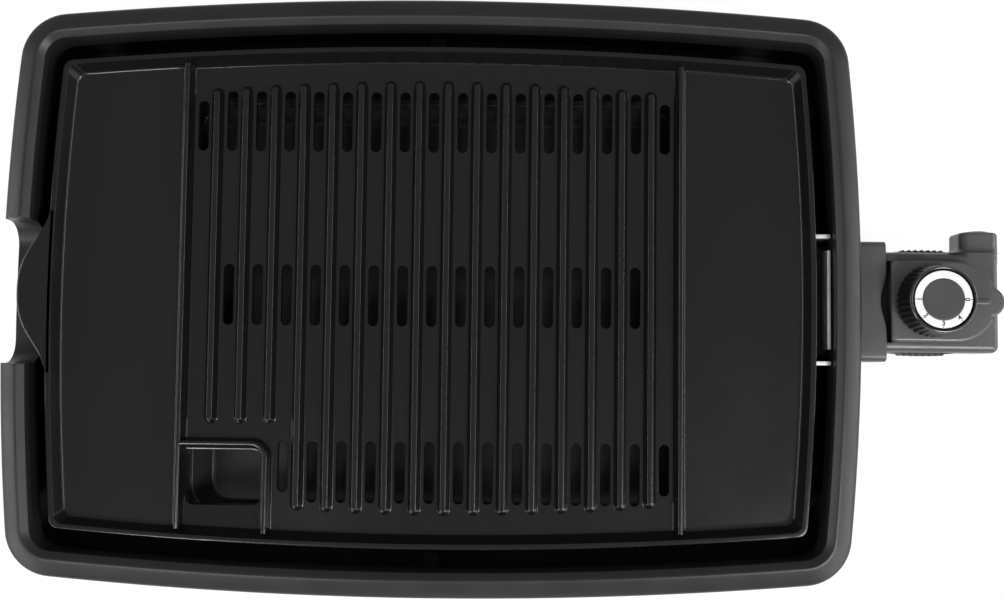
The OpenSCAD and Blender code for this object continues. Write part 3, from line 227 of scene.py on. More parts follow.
# %% A material from a shared finish
def finish_material(name, group, colour, bump, bump_depth, shader=None, **values):
    """A Principled material whose colour, roughness and bump come from a shared finish."""
    material = bpy.data.materials.new(name)
    material.use_nodes = True
    tree = material.node_tree
    tree.nodes.clear()
    place = add_node(tree, "ShaderNodeTexCoord")
    effect = add_node(tree, "ShaderNodeGroup", node_tree=group)
    join(tree, place.outputs["Object"], effect.inputs["Vector"])
    effect.inputs["Colour"].default_value = (*colour, 1)
    for key, value in values.items():
        effect.inputs[key.replace("_", " ")].default_value = value
    surface = add_node(tree, "ShaderNodeBsdfPrincipled")
    for key, value in (shader or {}).items():
        surface.inputs[key].default_value = value
    join(tree, effect.outputs["Colour"], surface.inputs["Base Color"])
    join(tree, effect.outputs["Roughness"], surface.inputs["Roughness"])
    raised = add_node(tree, "ShaderNodeBump", in_Strength=bump, in_Distance=bump_depth)
    join(tree, effect.outputs["Height"], raised.inputs["Height"])
    join(tree, raised.outputs["Normal"], surface.inputs["Normal"])
    leave = add_node(tree, "ShaderNodeOutputMaterial")
    join(tree, surface.outputs["BSDF"], leave.inputs["Surface"])
    return material


# %% [markdown]
# ## The object's materials
#
# Black is never one black. The housing is matt and a little grey, the coated plate is
# darker and smoother, the control is a satin grey-black, and the rubber is dull.

# %% Make the materials
def matt_finish(name, group, colour, bump, depth, specular, rough, **values):
    return finish_material(name, group, colour, bump, depth, {"Specular IOR Level": specular},
                           Roughness=rough, **values)


def metal(name, colour, bump, depth, rough):
    return finish_material(name, SHEET, colour, bump, depth, {"Metallic": 1.0}, Roughness=rough)


housing_plastic = matt_finish("housing_plastic", GRAIN, (0.015, 0.015, 0.0155), 0.16, 0.00006, 0.5,
                              0.42, Roughness_Spread=0.05)
# The hood is moulded in one with the housing; its colour is painted about four times lighter than
# the housing's, as painted light for the light its roof catches.
hood_plastic_painted_light = matt_finish("hood_plastic_painted_light", GRAIN, (0.068, 0.068, 0.070), 0.14, 0.00006, 0.5, 0.38,
                           Roughness_Spread=0.05)
pan_plastic = matt_finish("pan_plastic", GRAIN, (0.012, 0.012, 0.013), 0.2, 0.00008, 0.3, 0.6)
plate_coating = matt_finish("plate_coating", COATING, (0.0055, 0.0055, 0.0058), 0.05, 0.00006, 0.5,
                            0.17, Smear=0.05)
tray_enamel = matt_finish("tray_enamel", COATING, (0.032, 0.032, 0.033), 0.06, 0.0001, 0.45, 0.24,
                          Smear=0.05, Peel_Scale=420.0)
case_plastic = matt_finish("case_plastic", GRAIN, (0.080, 0.080, 0.082), 0.1, 0.00005, 0.5, 0.33,
                           Roughness_Spread=0.05)
grip_rubber = matt_finish("grip_rubber", GRAIN, (0.02, 0.02, 0.021), 0.15, 0.00006, 0.4, 0.5)
knob_plastic = matt_finish("knob_plastic", GRAIN, (0.004, 0.004, 0.0043), 0.05, 0.00004, 0.2, 0.3,
                           Roughness_Spread=0.04)
# The beads are the knob's own plastic made glossier; their colour is painted five times lighter as
# a painted highlight.
bead_plastic_painted_highlight = matt_finish("bead_plastic_painted_highlight", GRAIN, (0.02, 0.02, 0.021), 0.02, 0.00002, 0.8, 0.12,
                           Roughness_Spread=0.03)
cap_plastic = matt_finish("cap_plastic", GRAIN, (0.052, 0.052, 0.054), 0.06, 0.00004, 0.4, 0.42,
                          Grain_Scale=3400.0)
dial_plastic = matt_finish("dial_plastic", GRAIN, (0.80, 0.80, 0.79), 0.03, 0.00003, 0.4, 0.38,
                           Tone_Spread=0.02)
dial_ink = matt_finish("dial_ink", GRAIN, (0.035, 0.035, 0.037), 0.05, 0.00002, 0.3, 0.5)
foot_rubber = matt_finish("foot_rubber", GRAIN, (0.016, 0.016, 0.017), 0.3, 0.0001, 0.25, 0.75,
                          Grain_Scale=1800.0)
gland_rubber = matt_finish("gland_rubber", GRAIN, (0.014, 0.014, 0.015), 0.2, 0.00006, 0.3, 0.6)
phenolic = matt_finish("phenolic", GRAIN, (0.045, 0.030, 0.022), 0.15, 0.00008, 0.5, 0.36,
                       Grain_Scale=900.0, Tone_Spread=0.3)
ceramic = matt_finish("ceramic", GRAIN, (0.80, 0.76, 0.68), 0.25, 0.0001, 0.3, 0.7,
                      Grain_Scale=1500.0)
guard_steel = metal("guard_steel", (0.80, 0.80, 0.81), 0.08, 0.00005, 0.42)
# The guard's top cover is painted near-black as painted shade for the shadow under the plate's lip.
cover_painted_shade = matt_finish("cover_painted_shade", COATING, (0.008, 0.008, 0.0085), 0.05, 0.00006, 0.2, 0.4)
zinc_steel = metal("zinc_steel", (0.55, 0.56, 0.58), 0.05, 0.00004, 0.3)
rod_steel = metal("rod_steel", (0.64, 0.64, 0.66), 0.05, 0.00003, 0.2)
plated_pin = metal("plated_pin", (0.70, 0.67, 0.60), 0.04, 0.00003, 0.18)
contact_brass = metal("contact_brass", (0.72, 0.50, 0.22), 0.05, 0.00003, 0.26)
bimetal = metal("bimetal", (0.48, 0.36, 0.24), 0.05, 0.00003, 0.34)
element_sheath = metal("element_sheath", (0.26, 0.23, 0.20), 0.12, 0.00006, 0.45)
print("materials:", len(bpy.data.materials))

# %% [markdown]
# ## Floor and light
#
# A white table fills the picture. To the camera and in reflections it is partly lit by
# itself, so it stays white while the grill's soft shadow still shows. The room is a pale
# dome, a little brighter overhead. Two long low strips at the sides draw thin lines along
# the ribs and rims without lighting the flat tops, two small high lamps lift the walls,
# and a weak lamp in front softens the near side.

# %% Lay the floor
FLOOR_HALF, FLOOR_GAP, GLOW, GLOW_SHARE = 6.0, 0.0002, 1.13, 0.84
floor_mesh = bmesh.new()
bmesh.ops.create_grid(floor_mesh, x_segments=1, y_segments=1, size=FLOOR_HALF)
bmesh.ops.translate(floor_mesh, verts=floor_mesh.verts, vec=(0, 0, -FLOOR_GAP))
floor_data = bpy.data.meshes.new("floor")
floor_mesh.to_mesh(floor_data)
floor_mesh.free()
floor = bpy.data.objects.new("floor", floor_data)
bpy.context.scene.collection.objects.link(floor)

table_white = bpy.data.materials.new("table_white")
table_white.use_nodes = True
tree = table_white.node_tree
tree.nodes.clear()
matt = add_node(tree, "ShaderNodeBsdfDiffuse")
place = add_node(tree, "ShaderNodeTexCoord")
cloud = noise(tree, place.outputs["Object"], 3.0)
matt_colour = add_node(tree, "ShaderNodeMix", data_type="RGBA")
matt_colour.inputs["A"].default_value = (0.78, 0.78, 0.78, 1)
matt_colour.inputs["B"].default_value = (0.82, 0.82, 0.82, 1)
join(tree, cloud, matt_colour.inputs["Factor"])
join(tree, matt_colour.outputs["Result"], matt.inputs["Color"])
glow = add_node(tree, "ShaderNodeEmission", in_Color=(1, 1, 1, 1), in_Strength=GLOW)
rays = add_node(tree, "ShaderNodeLightPath")
seen = sums(tree, "MAXIMUM", rays.outputs["Is Camera Ray"], rays.outputs["Is Glossy Ray"])
seen = sums(tree, "MAXIMUM", seen, rays.outputs["Is Transmission Ray"])
blend = add_node(tree, "ShaderNodeMixShader")
join(tree, sums(tree, "MULTIPLY", seen, GLOW_SHARE), blend.inputs["Fac"])
join(tree, matt.outputs["BSDF"], blend.inputs[1])
join(tree, glow.outputs["Emission"], blend.inputs[2])
leave = add_node(tree, "ShaderNodeOutputMaterial")
join(tree, blend.outputs["Shader"], leave.inputs["Surface"])
floor.data.materials.append(table_white)
print("floor is", 2 * FLOOR_HALF, "m wide")

# %% Light the room
world = bpy.data.worlds.new("pale_room")
bpy.context.scene.world = world
world.use_nodes = True
tree = world.node_tree
tree.nodes.clear()
look = add_node(tree, "ShaderNodeTexCoord")
split = add_node(tree, "ShaderNodeSeparateXYZ")
join(tree, look.outputs["Generated"], split.inputs["Vector"])
DOME_TOP, DOME_SIDE = 0.33, 0.22
level = remap(tree, split.outputs["Z"], 0.0, 0.95, DOME_SIDE, DOME_TOP)
dome = add_node(tree, "ShaderNodeBackground", in_Color=(1, 1, 1, 1))
join(tree, level, dome.inputs["Strength"])
leave = add_node(tree, "ShaderNodeOutputWorld")
join(tree, dome.outputs["Background"], leave.inputs["Surface"])


def soft_lamp(name, place, size, power):
    """A flat lamp that faces the grill."""
    data = bpy.data.lights.new(name, "AREA")
    data.shape = "RECTANGLE"
    data.size, data.size_y = size
    data.energy = power
    lamp = bpy.data.objects.new(name, data)
    lamp.location = place
    lamp.rotation_euler = (-Vector(place)).to_track_quat("-Z", "Y").to_euler()
    bpy.context.scene.collection.objects.link(lamp)
    return lamp


soft_lamp("strip_right", (1.20, -0.35, 0.50), (1.7, 0.14), 9.0)
soft_lamp("strip_left", (-1.25, -0.40, 0.50), (1.7, 0.14), 7.5)
soft_lamp("key_right", (0.60, -0.45, 1.00), (0.30, 0.30), 7.5)
soft_lamp("key_left", (-0.50, -0.60, 1.05), (0.25, 0.25), 3.5)
soft_lamp("front", (-0.05, -1.25, 0.45), (0.5, 0.12), 0.8)

# %% [markdown]
# ## From a bmesh to a piece
#
# Pieces are modelled in millimetres round the middle of the housing, as a drawing would
# give them. One function turns a finished bmesh into an object: it welds doubles, points
# the faces outwards, moves the shape into the imported frame in metres, marks sharp edges,
# hangs it on the body that carries it and hides the imported solid it stands for.

# %% Turn a bmesh into a finished piece
def make_piece(name, bm, material, body, node=None, sharp=38.0, weld=0.004):
    bmesh.ops.remove_doubles(bm, verts=bm.verts, dist=weld)
    bmesh.ops.dissolve_degenerate(bm, edges=bm.edges, dist=0.0005)
    bmesh.ops.recalc_face_normals(bm, faces=bm.faces)
    bmesh.ops.translate(bm, verts=bm.verts, vec=(ORIGIN_X, 0, 0))
    bmesh.ops.scale(bm, verts=bm.verts, vec=(MM, MM, MM))
    for face in bm.faces:
        face.smooth = True
    data = bpy.data.meshes.new(name)
    bm.to_mesh(data)
    bm.free()
    data.set_sharp_from_angle(angle=math.radians(sharp))
    piece = bpy.data.objects.new(name, data)
    bpy.context.scene.collection.objects.link(piece)
    data.materials.append(material)
    even = piece.modifiers.new("even_shading", "WEIGHTED_NORMAL")
    even.keep_sharp = True
    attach(piece, body)
    if node:
        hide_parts(node)
    print(name, "faces:", len(data.polygons))
    return piece


# %% [markdown]
# ## Rings and skins
#
# Most of this grill is one outline drawn again and again at other sizes and heights. The
# first ring is a closed chain of vertices. Each next ring is made by extruding the last
# ring's edges and moving the new vertices into place, so the faces come by themselves.

# %% Ring tools
def start_ring(bm, points):
    """A closed chain of vertices and edges through the points."""
    ring = [bm.verts.new(p) for p in points]
    for a, b in zip(ring, ring[1:] + ring[:1]):
        bm.edges.new((a, b))
    return ring


def ring_edges(bm, ring):
    return [bm.edges.get((a, b)) for a, b in zip(ring, ring[1:] + ring[:1])]


def next_ring(bm, ring, points):
    """Extrudes a ring and moves each new vertex to its point."""
    made = bmesh.ops.extrude_edge_only(bm, edges=ring_edges(bm, ring))["geom"]
    fresh = {v for v in made if isinstance(v, bmesh.types.BMVert)}
    grown = []
    for vertex, point in zip(ring, points):
        partner = next(e.other_vert(vertex) for e in vertex.link_edges
                       if e.other_vert(vertex) in fresh)
        partner.co = point
        grown.append(partner)
    return grown


def grow(bm, ring, rings):
    """Carries a ring on through the given ones and returns the last."""
    for points in rings:
        ring = next_ring(bm, ring, points)
    return ring


def skin(bm, rings, loop=False):
    """A skin through rings of points, with flat ends or joined back to its start."""
    first = start_ring(bm, rings[0])
    last = grow(bm, first, rings[1:])
    if loop:
        next_ring(bm, last, rings[0])
    else:
        bm.faces.new(first)
        bm.faces.new(last)


def fill(bm, edges):
    """Fills a flat outline, leaving the outlines inside it open."""
    bmesh.ops.triangle_fill(bm, use_beauty=True, use_dissolve=False, edges=edges)


def smooth_path(points, steps):
    """More points on a flowing line through the given ones."""
    path = []
    for i in range(len(points) - 1):
        before = points[max(i - 1, 0)]
        here, there = points[i], points[i + 1]
        after = points[min(i + 2, len(points) - 1)]
        for k in range(steps):
            t = k / steps
            path.append(tuple(
                0.5 * (2 * b + (c - a) * t + (2 * a - 5 * b + 4 * c - d) * t * t
                       + (3 * b - a - 3 * c + d) * t ** 3)
                for a, b, c, d in zip(before, here, there, after)))
    return path + [points[-1]]


# %% [markdown]
# ## The bowed outline
#
# The housing and the plate share one plan: four sides that bow outwards, joined by small
# corners that meet them without a kink. A corner's centre is where two circles cross, one
# inside each bow. Chosen points on the sides keep their place from ring to ring, so that
# cut-outs and dividers get clean edges.

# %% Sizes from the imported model, in millimetres
HALF_L, HALF_W, CORNER_R = 238.0, 165.8, 27.0
SIDE_BOW, END_BOW = 2326.0, 1389.0
RIM_TOP = 70.0
LIP_X, LIP_Y, LIP_Z = 213.35, 139.25, 65.0
WING_Z, ZONE_Z = 56.0, 54.0
UNDER_WING_Z, UNDER_ZONE_Z = 52.5, 50.5
DIVIDER_X = 139.04


def spans(fixed, limit, steps):
    """Positions from -limit to limit through the fixed ones."""
    last = fixed[-1]
    outer = [last + (limit - last) * (i + 1) / steps for i in range(steps)]
    return [-v for v in reversed(outer)] + list(fixed) + outer


def bowed_outline(half_x, half_y, corner, end_ys, side_xs, corner_steps=10, span_steps=4):
    """Points round the outline, counter-clockwise from the right end's lower tangent."""
    px, py = 0.0, half_y - SIDE_BOW
    qx, qy = half_x - END_BOW, 0.0
    d = math.hypot(qx - px, qy - py)
    ux, uy = (qx - px) / d, (qy - py) / d
    r1, r2 = SIDE_BOW - corner, END_BOW - corner
    t = (r1 * r1 - r2 * r2 + d * d) / (2 * d)
    h = math.sqrt(r1 * r1 - t * t)
    cx, cy = px + t * ux + h * uy, py + t * uy - h * ux
    end_angle = math.atan2(cy, cx - qx)
    side_angle = math.atan2(cy - py, cx)
    arc = [end_angle + (side_angle - end_angle) * i / corner_steps for i in range(1, corner_steps)]
    bend = [(cx + corner * math.cos(a), cy + corner * math.sin(a)) for a in arc]
    ys = spans(end_ys, END_BOW * math.sin(end_angle), span_steps)
    xs = spans(side_xs, SIDE_BOW * math.cos(side_angle), span_steps)
    right = [(qx + math.sqrt(END_BOW ** 2 - y * y), y) for y in ys]
    top = [(x, py + math.sqrt(SIDE_BOW ** 2 - x * x)) for x in reversed(xs)]
    left = [(-x, -y) for x, y in right]
    bottom = [(-x, -y) for x, y in top]
    return (right + bend + top + [(-x, y) for x, y in reversed(bend)] + left
            + [(-x, -y) for x, y in bend] + bottom + [(x, -y) for x, y in reversed(bend)])


def arc(cx, cy, radius, angles):
    """Points on a circle at angles in degrees."""
    return [(cx + radius * math.cos(math.radians(a)), cy + radius * math.sin(math.radians(a)))
            for a in angles]


def raise_to(outline, z):
    """The outline's points at a height, which may be a number or a rule."""
    return [(x, y, z(x, y) if callable(z) else z) for x, y in outline]


def round_box(half_x, half_y, corner, mid_x=0.0, mid_y=0.0, steps=6):
    """A rectangle with round corners, counter-clockwise."""
    points = []
    for k, (sx, sy) in enumerate(((1, 1), (-1, 1), (-1, -1), (1, -1))):
        points += arc(mid_x + sx * (half_x - corner), mid_y + sy * (half_y - corner), corner,
                      [90 * (k + i / steps) for i in range(steps + 1)])
    return points


# %% [markdown]
# ## The housing
#
# The housing is one moulding: an outer wall that draws in at its foot, a rounded rim, a
# chamfer inside the crest and a skirt. It is made as a closed ring of profile points. At
# the left the rim is scooped out for the fingers: there every point above the scoop is
# pressed down to it. At the right a window is opened for the control by deleting faces
# and bridging the two borders. Six screw bosses stand inside the wall as a piece of
# their own.

# %% Model the housing
SADDLE_Z, SADDLE_T = 44.0, 3.0
SCOOP_HALF, SCOOP_R = 40.0, 14.0
TUNNEL_HALF, TUNNEL_LOW, TUNNEL_HIGH = 31.6, 19.65, 47.6


def scoop_height(y):
    """How high the housing may reach at the finger scoop."""
    side = abs(y)
    flat = SCOOP_HALF - SCOOP_R
    if side <= flat:
        return SADDLE_Z
    if side <= SCOOP_HALF:
        rise = SCOOP_R - math.sqrt(max(SCOOP_R ** 2 - (side - flat) ** 2, 0))
        return SADDLE_Z + rise
    return RIM_TOP + 1.0 - 3.2 * math.exp(-(side - SCOOP_HALF) * 1.6)


outer_path = smooth_path([(0, TUNNEL_HIGH), (0, 53), (0, 61.5), (0.15, 64.2), (0.9, 65.9),
                          (2.3, 67.0), (5.6, 68.5), (9, 69.75), (10.3, 70)], 4)
outer_path = [(max(inset, 0.0), z) for inset, z in outer_path]  # held at the wall's face
outer_side = ([(5, 7), (3.4, 10.5), (2, 15), (1.577, TUNNEL_LOW), (0.5, 31.5)] + outer_path
              + [(10.8, 69.93), (11.4, 69.5), (14.1, 67.3), (14.5, 66.7), (14.6, 65.8),
                 (14.8, 50.1)])
inner_side = [(14.5, 49.8), (12.5, 49.8), (12.2, 50.1), (11.9, 65.2), (6.3, 66), (4.2, 62.6),
              (2.6, 58), (2.6, 53), (2.6, TUNNEL_HIGH), (3.1, 31.5), (4.177, TUNNEL_LOW),
              (4.6, 15), (7.6, 7)]
end_ys = sorted(s * v for s in (-1, 1) for v in
                (5, 11, 17, 22, 26, 28, 30, 31.6, 33, 34.5, 36, 37.4, 38.6, 39.4, 39.9, 40.05,
                 40.2, 40.5, 41, 41.8, 43, 45, 52, 64, 80, 96))
end_ys.insert(len(end_ys) // 2, 0.0)
housing_xs = [float(x) for x in range(-190, 191, 19)]
rings = []
for inset, z in outer_side + inner_side:
    below = SADDLE_T if (inset, z) in inner_side else 0.0

    def height(x, y, z=z, below=below):
        return min(z, scoop_height(y) - below) if x < -200 and abs(y) < 60 else z

    rings.append(raise_to(bowed_outline(HALF_L - inset, HALF_W - inset,
                                        max(CORNER_R - inset, 3.0), end_ys, housing_xs, 12),
                          height))
bm = bmesh.new()
skin(bm, rings, loop=True)
bmesh.ops.remove_doubles(bm, verts=bm.verts, dist=0.004)


def in_window(face):
    c = face.calc_center_median()
    return c.x > 225 and abs(c.y) < TUNNEL_HALF and TUNNEL_LOW < c.z < TUNNEL_HIGH


window = [f for f in bm.faces if in_window(f)]
bmesh.ops.delete(bm, geom=window, context="FACES")
open_edges = [e for e in bm.edges if e.is_boundary]
borders = [e for e in open_edges if e.verts[0].co.x > 220]
print("open edges away from the window:", len(open_edges) - len(borders))
bmesh.ops.bridge_loops(bm, edges=borders)
make_piece("housing", bm, housing_plastic, "base", "base_housing")
bm = bmesh.new()
for x, y in ((218, 112), (218, -112), (-218, 112), (-218, -112), (0, 150.8), (0, -150.8)):
    skin(bm, [raise_to(round_box(r, r, r - 0.01, x, y, 8), z)
              for r, z in ((5.0, 8.5), (5.0, 25.7), (4.7, 26.3), (4.1, 26.5))])
make_piece("screw_bosses", bm, pan_plastic, "base")

# %% [markdown]
# ## The hood over the plug
#
# A flat sleeve sticks out of the housing's right end and covers the plug. Its mouth is
# slightly rounded, and a shallow dip in its roof leaves room for a fingertip. The sleeve
# is a rounded box drawn out along X, turned in at the mouth and drawn back inside.

# %% Model the hood
HOOD_X, HOOD_HALF, HOOD_TOP, HOOD_FLOOR = 256.0, 34.0, 50.0, 17.25
HOOD_WALL, DIP_HALF, DIP = 2.4, 17.5, 3.2
roof_ys = [28 - i * 56 / 40 for i in range(41)]


def hood_section(inset, x, dip_share=1.0):
    """The sleeve's section at one place along X, with its dip in the roof."""
    half, top, low = HOOD_HALF - inset, HOOD_TOP - inset, HOOD_FLOOR + inset
    r = max(3.4 - inset, 0.5)
    flat = []
    for cy, cz, start in ((half - r, top - r, 0), (r - half, top - r, 90),
                          (r - half, low + r, 180), (half - r, low + r, 270)):
        if start == 90:
            flat += [(y, top) for y in roof_ys]
        flat += arc(cy, cz, r, [start + 90 * i / 5 for i in range(6)])
    points = []
    for y, z in flat:
        dip = DIP * 0.5 * (1 + math.cos(math.pi * min(abs(y) / DIP_HALF, 1))) if z > 40 else 0.0
        points.append((x - dip * dip_share, y, z))
    return points


bm = bmesh.new()
skin(bm, [hood_section(*step) for step in (
    (0.0, 233.0, 0), (0.0, 240.0, 0), (0.0, 252.0, 0.9), (0.0, HOOD_X - 0.6),
    (0.18, HOOD_X - 0.18), (0.6, HOOD_X), (HOOD_WALL - 0.3, HOOD_X), (HOOD_WALL, HOOD_X - 0.3),
    (HOOD_WALL, 252.0, 0.9), (HOOD_WALL, 240.0, 0), (HOOD_WALL, 233.0, 0))], loop=True)
# The hood wears the housing's plastic painted lighter: painted light on its roof.
make_piece("hood", bm, hood_plastic_painted_light, "base")

# %% [markdown]
# ## The grill plate
#
# The plate is a coated aluminium casting. A thin lip runs round it, the wall slopes down
# to two flat wings, and between two dividers the floor is a little lower and carries
# sixteen ribs with grease slots between them. The upper and the lower skin are drawn ring
# by ring. The floors are filled between the wall's foot and the rings of the slots, each
# of which has a rolled edge that catches the light.

# %% Outlines of slots and ribs
def stadium(mid_x, low_y, high_y, width, z, steps=8):
    """A bar with round ends along Y; low_y and high_y are the centres of the ends."""
    turns = [180 * i / steps for i in range(steps + 1)]
    return raise_to(arc(mid_x, high_y, width / 2, turns)
                    + arc(mid_x, low_y, width / 2, [180 + t for t in turns]), z)


RIB_PITCH, RIB_COUNT, RIB_W = 16.33, 16, 6.3
SLOT_W, SLOT_L, SLOT_ROW = 5.3, 34.0, 98.6
DRAIN_X0, DRAIN_X1, DRAIN_Y0, DRAIN_Y1, DRAIN_R = -136.54, -93.54, -117.6, -85.6, 5.0
BORDER_X, BORDER_Y, BAR_HALF = -90.54, -83.1, 2.5
SHORT_RIBS, SHORT_RIB_LOW = 3, -72.2
END_CUT = 5.8


def slot_list():
    """Middle and length of each grease slot."""
    found = []
    half = RIB_COUNT // 2
    for k in range(-half, half + 1):
        x = k * RIB_PITCH
        cut = END_CUT if abs(k) == half else 0.0
        found.append((x, SLOT_ROW - cut / 2, SLOT_L - cut))
        if abs(k) < half:
            found.append((x, 0.0, SLOT_L))
        clear = BORDER_X + BAR_HALF + SLOT_W / 2
        if x > clear:
            low_cut = END_CUT if x - RIB_PITCH < clear else cut
            found.append((x, -SLOT_ROW + low_cut / 2, SLOT_L - low_cut))
    return found


SLOTS = slot_list()
print("grease slots:", len(SLOTS))

# %% Model the plate's skins
ZONE_EDGE, WING_EDGE = 137.8, 140.3
UNDER_ZONE_EDGE, UNDER_WING_EDGE = 146.6, 149.0
plate_ys = [float(y) for y in range(-100, 101, 20)]
plate_xs = sorted(s * v for s in (-1, 1) for v in
                  (10, 30, 50, 70, 90, 110, 125, ZONE_EDGE, WING_EDGE, UNDER_ZONE_EDGE,
                   UNDER_WING_EDGE, 165, 180))


def plate_outline(inset, corner):
    return bowed_outline(LIP_X - inset, LIP_Y - inset, corner, plate_ys, plate_xs, 8, 3)


def wall_ring(inset_wing, z_wing, inset_zone, z_zone, corner=6.4, edge=139.0):
    """A ring of the wall that sits deeper between the dividers."""
    wing, zone = plate_outline(inset_wing, corner), plate_outline(inset_zone, corner)
    return [(*(q if abs(q[0]) < edge and abs(q[1]) > 90 else p),
             z_zone if abs(q[0]) < edge and abs(q[1]) > 90 else z_wing)
            for p, q in zip(wing, zone)]


lip_steps = [(3.7, 6, 53.3), (0.9, 6, 61.6), (0.15, 6, 62.2), (0, 6, 62.8), (0, 6, 64.35),
             (0.12, 6, 64.72), (0.42, 6, 64.95), (0.8, 6, LIP_Z), (2.3, 5.8, LIP_Z),
             (2.75, 5.7, 64.86), (3.05, 5.6, 64.4)]
wall_steps = [(5.5, 57.9, 5.6, 57.6), (5.75, 57.2, 6.1, 55.6), (6.15, 56.6, 6.35, 54.8),
              (6.75, 56.2, 6.65, 54.35), (7.5, 56.03, 7.05, 54.08), (8.4, WING_Z, 7.7, ZONE_Z)]
upper = ([raise_to(plate_outline(inset, corner), z) for inset, corner, z in lip_steps]
         + [wall_ring(*step) for step in wall_steps])
bm = bmesh.new()
UNDER_STEP = 147.8
foot_ring = start_ring(bm, wall_ring(5.4, UNDER_WING_Z, 5.4, UNDER_ZONE_Z, 6.0, UNDER_STEP))
ring = next_ring(bm, foot_ring,
                 wall_ring(4.7, UNDER_WING_Z, 4.9, UNDER_ZONE_Z + 0.2, 6.0, UNDER_STEP))
ring = grow(bm, ring, upper)


def close_floor(ring, zone_edge, wing_edge, holes):
    """Fills the two wings, the zone between them with its holes, and the two steps."""
    def chain(test):
        return [e for e in ring_edges(bm, ring) if all(test(v.co) for v in e.verts)]

    def corner_vertex(x, top):
        side = [v for v in ring if (v.co.y > 0) == top and abs(v.co.y) > 90]
        return min(side, key=lambda v: abs(v.co.x - x))

    links = {}
    for x in (-wing_edge, -zone_edge, zone_edge, wing_edge):
        links[x] = bm.edges.new((corner_vertex(x, True), corner_vertex(x, False)))
    fill(bm, chain(lambda c: c.x > wing_edge - 0.1) + [links[wing_edge]])
    fill(bm, chain(lambda c: c.x < 0.1 - wing_edge) + [links[-wing_edge]])
    zone = chain(lambda c: abs(c.x) < zone_edge + 0.1) + [links[zone_edge], links[-zone_edge]]
    fill(bm, zone + [e for hole in holes for e in ring_edges(bm, hole)])
    for s in (-1, 1):
        a, b = links[s * zone_edge].verts, links[s * wing_edge].verts
        bm.faces.new((a[0], b[0], b[1], a[1]))


top_holes, under_holes = [], []
for x, y, length in SLOTS:
    reach = (length - SLOT_W) / 2
    rim = start_ring(bm, stadium(x, y - reach, y + reach, SLOT_W + 1.1, ZONE_Z))
    top_holes.append(rim)
    under_holes.append(grow(bm, rim, [
        stadium(x, y - reach, y + reach, SLOT_W + wider, z)
        for wider, z in ((0.62, 53.96), (0.25, 53.8), (0.04, 53.5), (0, 53.1), (0, 50.9),
                         (0.5, UNDER_ZONE_Z))]))

# %% [markdown]
# The drain is one more hole, but with a chute: on the wall's side its first ring lies far
# out and level with the floor, and the next ring lies at the hole, a little lower. The
# face between the two is the sloping chute. Under the floor the hole ends in a spout.

# %% Model the drain and close the floors
CHUTE_OUT, CHUTE_DEPTH = 12.4, 1.6


def drain_ring(grow, z, chute=0.0, chute_z=None):
    """The drain's outline grown by some millimetres; chute draws out its front side."""
    half_x = (DRAIN_X1 - DRAIN_X0) / 2 + grow
    half_y = (DRAIN_Y1 - DRAIN_Y0) / 2 + grow
    mid_x, mid_y = (DRAIN_X0 + DRAIN_X1) / 2, (DRAIN_Y0 + DRAIN_Y1) / 2
    points = []
    for x, y in round_box(half_x, half_y, DRAIN_R + grow, mid_x, mid_y):
        front = y < mid_y
        if front and chute:
            x = mid_x + math.copysign(half_x, x - mid_x)
            y = DRAIN_Y0 - chute + (y - DRAIN_Y0) * 0.12
        points.append((x, y, chute_z if front and chute_z is not None else z))
    return points


rim = start_ring(bm, drain_ring(0.35, ZONE_Z, CHUTE_OUT))
top_holes.append(rim)
under_holes.append(grow(bm, rim, [drain_ring(*step) for step in (
    (0.30, 53.9, CHUTE_OUT - 0.5, 53.85), (0.25, 53.7, 0.0, ZONE_Z - CHUTE_DEPTH),
    (0.0, 53.2, 0.0, ZONE_Z - CHUTE_DEPTH - 0.3), (0.0, 45.0), (0.4, 44.5), (2.1, 44.5),
    (2.5, 44.9), (2.5, UNDER_ZONE_Z))]))
close_floor(ring, ZONE_EDGE, WING_EDGE, top_holes)
close_floor(foot_ring, UNDER_ZONE_EDGE, UNDER_WING_EDGE, under_holes)
make_piece("cast_plate", bm, plate_coating, "plate", "grill_plate", sharp=30)

# %% [markdown]
# ## Ribs and dividers
#
# The ribs carry the food. Each has a soft foot, steep flanks and a narrow flat crown, and
# so draws four fine lines of light: two on the crown and one along each foot. A rib is a
# stack of bar-shaped rings that get narrower. A divider is a section drawn out along the
# plate. Its inner flank is steep and reaches down to the lower floor of the ribs. The
# drain's border is the same kind of bar, bent once.

# %% Model the ribs
RIB_CUT, RIB_BOW = 121.8, 0.00035
rib_steps = [(RIB_W + 1.5, -0.04), (RIB_W + 0.75, 0.06), (RIB_W + 0.2, 0.28),
             (RIB_W - 0.25, 0.7), (RIB_W - 0.6, 1.2), (3.7, 3.9), (3.5, 4.3), (3.2, 4.6),
             (2.8, 4.8), (2.3, 4.92), (1.6, 4.98), (0.7, 5.0)]
bm = bmesh.new()
for k in range(RIB_COUNT):
    x = (k - (RIB_COUNT - 1) / 2) * RIB_PITCH
    reach = RIB_CUT - x * x * RIB_BOW - RIB_W / 2
    low = SHORT_RIB_LOW + RIB_W / 2 if k < SHORT_RIBS else -reach
    skin(bm, [stadium(x, low, reach, width, ZONE_Z + z, 12) for width, z in rib_steps])
make_piece("ribs", bm, plate_coating, "plate", sharp=50)

